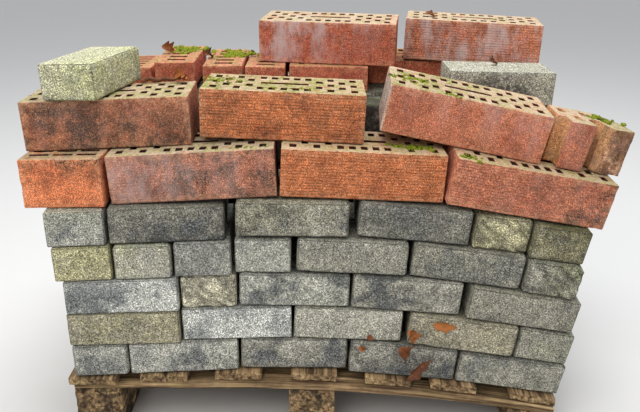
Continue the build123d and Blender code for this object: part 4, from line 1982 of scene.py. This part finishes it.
@dataclass(frozen=True)
class Leaf:
    """One dead leaf.

    Args:
        spot: Where its middle lies.
        length: From stalk to tip.
        width: Across.
        lean: Turns about the right, back and up axes in degrees.
        lift: How far it lies off the surface, along back and up.
        curl: How strongly it rolls up.
        tone: Its colour.
        rows: Points of its grid along it.
        columns: Points across it.
        thick: Thickness of the sheet.
    """

    spot: Spot
    length: float
    width: float
    lean: tuple[float, float, float]
    lift: tuple[float, float]
    curl: float
    tone: Colour
    rows: int = 15
    columns: int = 9
    thick: float = 0.5 * MM

    def sheet(self, seed: int) -> Array:
        """Upper side of the leaf, lobed, curled and rippled.

        Args:
            seed: Its number.

        Returns:
            Grid of local points, with the shape (rows, columns, 3).
        """
        ways = (np.linspace(-1, 1, self.rows), np.linspace(-1, 1, self.columns))
        along, across = np.meshgrid(*ways, indexing="ij")
        lobes = 1.0 + 0.24 * np.sin(along * 9.0 + seed) * np.abs(across)
        taper = np.clip(1.0 - along**2, 0.02, 1.0) ** 0.8 * (1.1 - 0.35 * along)
        half = self.width / 2 * taper * lobes
        bend = self.curl * (across * half / self.width) ** 2 * 2.4 * self.width
        wave = 0.06 * self.length * np.sin(along * 2.6 + seed)
        ripple = 0.05 * self.width * np.abs(across) * np.sin(along * 9.0)
        return np.stack([along * self.length / 2, across * half, bend + wave + ripple], axis=-1)

    def mesh(self, seed: int) -> tuple[Array, Array, Array]:
        """Closed thin sheet.

        Args:
            seed: Its number.

        Returns:
            World points, quads and local points.
        """
        upper = self.sheet(seed).reshape(-1, 3)
        local = np.concatenate([upper, upper - np.array([0.0, 0.0, self.thick])])
        count, step = self.rows * self.columns, self.columns
        top = cell_quads(self.rows, step).reshape(-1, 4)
        ring = np.concatenate(
            [
                np.arange(0, step),
                np.arange(2 * step - 1, count, step),
                np.arange(count - 2, count - step - 1, -1),
                np.arange(count - 2 * step, 0, -step),
            ]
        )
        following = np.roll(ring, -1)
        rim = np.stack([ring, following, following + count, ring + count], axis=1)
        quads = np.concatenate([top, top[:, ::-1] + count, rim])
        place, axes = self.spot.find()
        turned = local
        for axis, angle in enumerate(self.lean):
            turned = turned @ turn_about(axis, angle)
        place = place + axes[1] * self.lift[0] + axes[2] * self.lift[1]
        return place + turned @ axes, quads, local


@dataclass(frozen=True)
class MossPatch:
    """Group of moss tufts.

    Args:
        spot: Its middle.
        along: How far it spreads to the right and left.
        back: How far it spreads to the front and back.
        count: Number of tufts.
        size: Radius of a tuft.
    """

    spot: Spot
    along: float
    back: float
    count: int
    size: float


def tube(path: Array, radii: Array, sides: int = 7) -> tuple[Array, Array]:
    """Closed tube along a path.

    Args:
        path: Middle points.
        radii: Radius at each.
        sides: Corners of its section.

    Returns:
        Points and quads.
    """
    ahead = np.gradient(path, axis=0)
    ahead /= np.linalg.norm(ahead, axis=1)[:, None]
    side = np.cross(ahead, np.array([0.0, 0.0, 1.0]))
    side /= np.linalg.norm(side, axis=1)[:, None]
    over = np.cross(side, ahead)
    angles = np.linspace(0.0, 2.0 * math.pi, sides, endpoint=False)[None, :, None]
    ring = side[:, None] * np.cos(angles) + over[:, None] * np.sin(angles)
    points = (path[:, None] + ring * radii[:, None, None]).reshape(-1, 3)
    i, j = np.meshgrid(np.arange(len(path) - 1), np.arange(sides), indexing="ij")
    first = i * sides + j
    second = i * sides + (j + 1) % sides
    quads = np.stack([first, second, second + sides, first + sides], axis=-1).reshape(-1, 4)
    return points, quads


@dataclass
class Litter:
    """Leaves, a twig, a snail shell and moss that lie on the pile.

    Args:
        leaf: Material of the leaves, the twig and the shell.
        moss: Material of the moss.
        rust: Reddish brown.
        bark: Dark brown.
        ochre: Yellowish brown.
        twig: Length and radius of the twig.
        twig_bend: How far the twig bends to either side.
        twig_lift: Height of its middle line.
        shell_turns: Turns of the shell.
        shell_reach: Radius of its spiral at the middle, and how much wider it gets.
        shell_tube: Radius of its tube at the middle, and how much thicker it gets.
        dome: Points around and up a tuft of moss.
        squash: Height of a tuft as a part of its radius.
        sunk: How deep a tuft sits as a part of its radius.
        moss_seed: Number that picks the places of the tufts.
    """

    leaf: bpy.types.Material
    moss: bpy.types.Material
    rust: Colour = linear(132, 74, 40)
    bark: Colour = linear(96, 58, 40)
    ochre: Colour = linear(176, 108, 54)
    twig: tuple[float, float] = (82.0 * MM, 4.4 * MM)
    twig_bend: float = 4.0 * MM
    twig_lift: float = 4.0 * MM
    shell_turns: float = 2.1
    shell_reach: tuple[float, float] = (1.1 * MM, 4.2 * MM)
    shell_tube: tuple[float, float] = (0.6 * MM, 2.2 * MM)
    dome: tuple[int, int] = (10, 6)
    squash: float = 0.7
    sunk: float = 0.2
    moss_seed: int = 41

    def leaves(self) -> list[Leaf]:
        """List the leaves.

        Returns:
            Every leaf: spot, length, width, lean, lift, curl and tone.
        """
        rust, bark, ochre = self.rust, self.bark, self.ochre
        first, second, small = "paver_course_1", "paver_course_2", "rear_small_bricks"
        upper, top, loose = "upper_brick_course", "rear_top_bricks", "loose_paver_right"
        return [
            Leaf(Spot(small, 4, -1.06, -0.9, 0.2), 0.03, 0.024, (88, 0, 0), (0.01, 0.0), 0.3, bark),
            Leaf(Spot(second, 3, -0.38, -1.0, 0.62), 0.044, 0.016, (78, 0, 4), (-0.005, 0.0), 0.3, ochre),
            Leaf(Spot(second, 3, -0.94, -1.0, -0.3), 0.034, 0.02, (72, 60, 20), (-0.007, 0.0), 0.7, ochre),
            Leaf(Spot(first, 3, -0.02, -1.0, 0.8), 0.036, 0.026, (76, 35, 30), (-0.008, 0.0), 0.7, rust),
            Leaf(Spot(first, 3, 0.3, -1.0, -0.25), 0.062, 0.017, (86, -52, 0), (-0.011, 0.0), 0.5, bark),
            Leaf(Spot(second, 2, 0.42, -1.0, -0.75), 0.014, 0.009, (80, 40, 0), (-0.003, 0.0), 0.3, rust),
            Leaf(Spot(upper, 0, 0.8, 0.8), 0.03, 0.022, (30, 12, 30), (0.0, 0.008), 0.9, ochre),
            Leaf(Spot(small, 1, -0.7, 0.1), 0.03, 0.02, (58, 34, 16), (0.0, 0.008), 0.9, rust),
            Leaf(Spot(small, 2, -0.9, -0.1), 0.03, 0.015, (40, 20, 60), (0.0, 0.005), 0.9, bark),
            Leaf(Spot(top, 1, -0.62, -0.3), 0.034, 0.018, (14, 12, 10), (0.0, 0.002), 0.35, rust),
            Leaf(Spot(loose, 0, -0.05, 0.3), 0.026, 0.016, (40, 10, 40), (0.0, 0.006), 0.6, bark),
            Leaf(Spot(small, 4, -1.05, -0.5, 0.6), 0.04, 0.022, (80, 10, 80), (0.0, 0.0), 0.6, bark),
        ]

    def add_leaf(self, pile: MeshPile, leaf: Leaf, number: int) -> None:
        """Add one leaf.

        Args:
            pile: Mesh that takes it.
            leaf: The leaf.
            number: Its number.
        """
        points, quads, local = leaf.mesh(number)
        edge = np.clip(np.abs(local[:, 1]) / leaf.width * 1.6 - 0.3, 0.0, 1.0)
        tint = np.tile(np.array(leaf.tone), (len(points), 1))
        pile.add(points, quads, tint=tint, spot=local + pattern_shift(number), edge=edge)

    def add_tube(self, pile: MeshPile, path: Array, radii: Array, tone: Colour, edge: float) -> None:
        """Add a tube of one colour.

        Args:
            pile: Mesh that takes it.
            path: Its middle points.
            radii: Its radius at each.
            tone: Its colour.
            edge: How dark it is, from 0 to 1.
        """
        points, quads = tube(path, radii)
        tint = np.tile(np.array(tone), (len(points), 1))
        pile.add(points, quads, tint=tint, spot=points, edge=np.full(len(points), edge))

    def twig_path(self, steps: Array) -> Array:
        """Middle line of the twig.

        Args:
            steps: Positions along it, from 0 to 1.

        Returns:
            World points.
        """
        start, axes = Spot("upper_brick_course", 0, 0.3, 0.86).find()
        bends = self.twig_bend * np.sin(steps * 9.0)
        path = start + axes[1] * bends[:, None] + axes[0] * (self.twig[0] * steps)[:, None]
        return path + axes[2] * (self.twig_lift + np.abs(bends))[:, None]

    def shell_path(self, steps: Array) -> Array:
        """Middle line of the shell's tube.

        Args:
            steps: Positions along it, from 0 to 1.

        Returns:
            World points.
        """
        centre, axes = Spot("paver_course_1", 3, -0.8, -1.0, 0.72).find()
        angle = steps * self.shell_turns * 2.0 * math.pi
        reach = self.shell_reach[0] + self.shell_reach[1] * steps**1.2
        depth = (2.0 * steps - 3.0) * MM
        return centre + np.stack([np.cos(angle) * reach, depth, np.sin(angle) * reach], axis=1) @ axes

    def build_leaves(self) -> None:
        """Build the leaves, the twig and the shell."""
        pile = MeshPile()
        leaves = self.leaves()
        for number, leaf in enumerate(leaves):
            self.add_leaf(pile, leaf, number)
        steps = np.linspace(0.0, 1.0, 12)
        self.add_tube(pile, self.twig_path(steps), self.twig[1] * (1.0 - 0.5 * steps), self.bark, 0.3)
        steps = np.linspace(0.0, 1.0, 44)
        radii = self.shell_tube[0] + self.shell_tube[1] * steps
        self.add_tube(pile, self.shell_path(steps), radii, self.ochre, 0.2)
        made = pile.build("dead_leaves", self.leaf, 60.0)
        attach(made, "root")
        log.info("dead_leaves: %d leaves, a twig and a shell", len(leaves))

    def patches(self) -> list[MossPatch]:
        """List the patches of moss.

        Returns:
            Every patch: spot, along, back, count and size.
        """
        return [
            MossPatch(Spot("tilted_brick", 0, -0.75, -0.1), 0.05, 0.03, 26, 0.0042),
            MossPatch(Spot("lower_brick_course", 1, 0.62, -0.35), 0.055, 0.014, 40, 0.006),
            MossPatch(Spot("lower_brick_course", 2, -0.86, -0.75), 0.025, 0.012, 14, 0.0045),
            MossPatch(Spot("upper_brick_course", 1, -0.8, 0.1), 0.035, 0.04, 26, 0.0036),
            MossPatch(Spot("upper_brick_course", 1, 0.1, -0.6), 0.09, 0.012, 12, 0.003),
            MossPatch(Spot("rear_small_bricks", 1, 0.2, 0.45), 0.04, 0.034, 60, 0.0065),
            MossPatch(Spot("rear_small_bricks", 2, 0.35, 0.4), 0.04, 0.036, 60, 0.0065),
            MossPatch(Spot("lower_brick_course", 0, 0.5, -0.8), 0.05, 0.008, 10, 0.003),
            MossPatch(Spot("broken_brick", 0, 0.3, 0.3), 0.03, 0.025, 22, 0.0045),
            MossPatch(Spot("rear_top_bricks", 1, 0.3, -0.2), 0.03, 0.02, 10, 0.003),
            MossPatch(Spot("tilted_brick", 0, -0.2, -0.9), 0.04, 0.006, 8, 0.0032),
        ]

    def tuft(self) -> tuple[Array, Array]:
        """Dome of radius 1 that a tuft starts from.

        Returns:
            Points and quads.
        """
        rounds, rises = self.dome
        turn = np.linspace(0, 2 * math.pi, rounds + 1)[:-1]
        lift = np.linspace(-0.25, 0.98, rises) * math.pi / 2
        around, rise = np.meshgrid(turn, lift, indexing="ij")
        dome = np.stack([np.cos(around) * np.cos(rise), np.sin(around) * np.cos(rise), np.sin(rise)], axis=-1)
        quads = cell_quads(rounds + 1, rises).reshape(-1, 4) % (rounds * rises)
        return dome.reshape(-1, 3), quads

    def build_moss(self) -> None:
        """Build the moss tufts."""
        pile = MeshPile()
        rng = np.random.default_rng(self.moss_seed)
        dome, quads = self.tuft()
        tufts = 0
        for patch in self.patches():
            place, axes = patch.spot.find()
            for _ in range(patch.count):
                tufts += 1
                off = rng.normal(0.0, 0.45, 2) * np.array([patch.along, patch.back])
                radius = patch.size * rng.uniform(0.5, 1.2)
                bumps = 1.0 + 0.3 * value_noise(dome * 2.2 + tufts * 3.1, 5)[:, None]
                local = dome * bumps * radius * np.array([1.0, 1.0, self.squash])
                points = place + (local + np.array([off[0], off[1], -self.sunk * radius])) @ axes
                pile.add(points, quads, spot=local + tufts * 0.1)
        made = pile.build("moss_tufts", self.moss, 80.0)
        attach(made, "root")
        log.info("moss_tufts: %d tufts", tufts)


@dataclass(frozen=True)
class Lamp:
    """Square soft light.

    Args:
        name: Its name.
        place: Where it hangs.
        size: Its side.
        power: Its strength in watts.
        colour: Its colour.
    """

    name: str
    place: tuple[float, float, float]
    size: float
    power: float
    colour: Colour

    def hang(self, target: Vector) -> None:
        """Hang it and aim it.

        Args:
            target: Point that it shines on.
        """
        data = bpy.data.lights.new(self.name, "AREA")
        data.shape = "SQUARE"
        data.size = self.size
        data.energy = self.power
        data.color = self.colour
        made = bpy.data.objects.new(self.name, data)
        made.location = self.place
        made.rotation_euler = (target - Vector(self.place)).to_track_quat("-Z", "Y").to_euler()
        bpy.context.scene.collection.objects.link(made)


@dataclass
class Studio:
    """Pale floor, soft light and the camera of the photo.

    Args:
        focal: Focal length in pixels.
        width: Width of the photo in pixels.
        sensor: Width of the camera's sensor in millimetres.
        pitch: How far the camera looks down, in degrees.
        yaw: How far it is turned left, in degrees.
        place: Where it stands.
        target: Height that the lamps shine on.
        ground: Left, right, front and back of the floor.
        floor_colour: Colour of the floor.
        floor_roughness: How dull it is.
        sky_colour: Colour of the surroundings.
        sky_strength: How bright they are.
        lamps: The lamps.
    """

    focal: float = 706.2
    width: float = 640.0
    sensor: float = 36.0
    pitch: float = 20.80
    yaw: float = 0.19
    place: tuple[float, float, float] = (0.0054, -1.4431, 0.8914)
    target: float = 0.35
    ground: tuple[float, float, float, float] = (-12.0, 12.0, -9.0, 14.0)
    floor_colour: Colour = (0.72, 0.71, 0.69)
    floor_roughness: float = 0.85
    sky_colour: Colour = (0.93, 0.95, 1.0)
    sky_strength: float = 0.62
    lamps: tuple[Lamp, ...] = (
        Lamp("key", (-1.2, -2.2, 2.6), 2.0, 44.0, (1.0, 0.97, 0.92)),
        Lamp("sky", (0.2, 0.3, 3.2), 2.4, 84.0, (0.96, 0.98, 1.0)),
    )

    def floor(self) -> bpy.types.Object:
        """Build the wide pale floor.

        Returns:
            The floor.
        """
        left, right, front, back = self.ground
        mesh = bpy.data.meshes.new("floor")
        corners = [(left, front, 0), (right, front, 0), (right, back, 0), (left, back, 0)]
        mesh.from_pydata(corners, [], [(0, 1, 2, 3)])
        made = bpy.data.objects.new("floor", mesh)
        bpy.context.scene.collection.objects.link(made)
        paint = bpy.data.materials.new("pale_floor")
        paint.use_nodes = True
        surface = paint.node_tree.nodes["Principled BSDF"]
        surface.inputs["Base Color"].default_value = (*self.floor_colour, 1.0)
        surface.inputs["Roughness"].default_value = self.floor_roughness
        mesh.materials.append(paint)
        return made

    def world(self) -> None:
        """Set the soft pale surroundings."""
        world = bpy.data.worlds.new("studio")
        world.use_nodes = True
        back = world.node_tree.nodes["Background"]
        back.inputs["Color"].default_value = (*self.sky_colour, 1.0)
        back.inputs["Strength"].default_value = self.sky_strength
        bpy.context.scene.world = world

    def camera(self) -> None:
        """Set the camera that was solved from the photo's corners."""
        data = bpy.data.cameras.new("camera")
        data.sensor_width = self.sensor
        data.sensor_fit = "HORIZONTAL"
        data.lens = self.sensor * self.focal / self.width
        made = bpy.data.objects.new("camera", data)
        made.location = self.place
        made.rotation_euler = (math.radians(90.0 - self.pitch), 0.0, math.radians(self.yaw))
        bpy.context.scene.collection.objects.link(made)
        bpy.context.scene.camera = made

    def build(self) -> None:
        """Set the whole stage."""
        self.floor()
        self.world()
        for lamp in self.lamps:
            lamp.hang(Vector((0.0, 0.0, self.target)))
        self.camera()
        bpy.context.scene.view_settings.view_transform = "Standard"


def main() -> None:
    """Build the looks in order."""
    logging.basicConfig(level=logging.INFO, format="%(message)s")
    concrete = ConcreteFinish().material()
    clay = ClayFinish().material()
    timber = TimberFinish().material()
    PalletTimber(timber).build()
    PaverStack(concrete).build()
    BrickRows(clay).build()
    BrokenBrick(clay).build()
    litter = Litter(LitterFinish().material(), MossFinish().material())
    litter.build_leaves()
    litter.build_moss()
    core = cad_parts["stack_core"]
    core.data.materials.clear()
    core.data.materials.append(concrete)
    Studio().build()


if __name__ == "__main__":
    main()
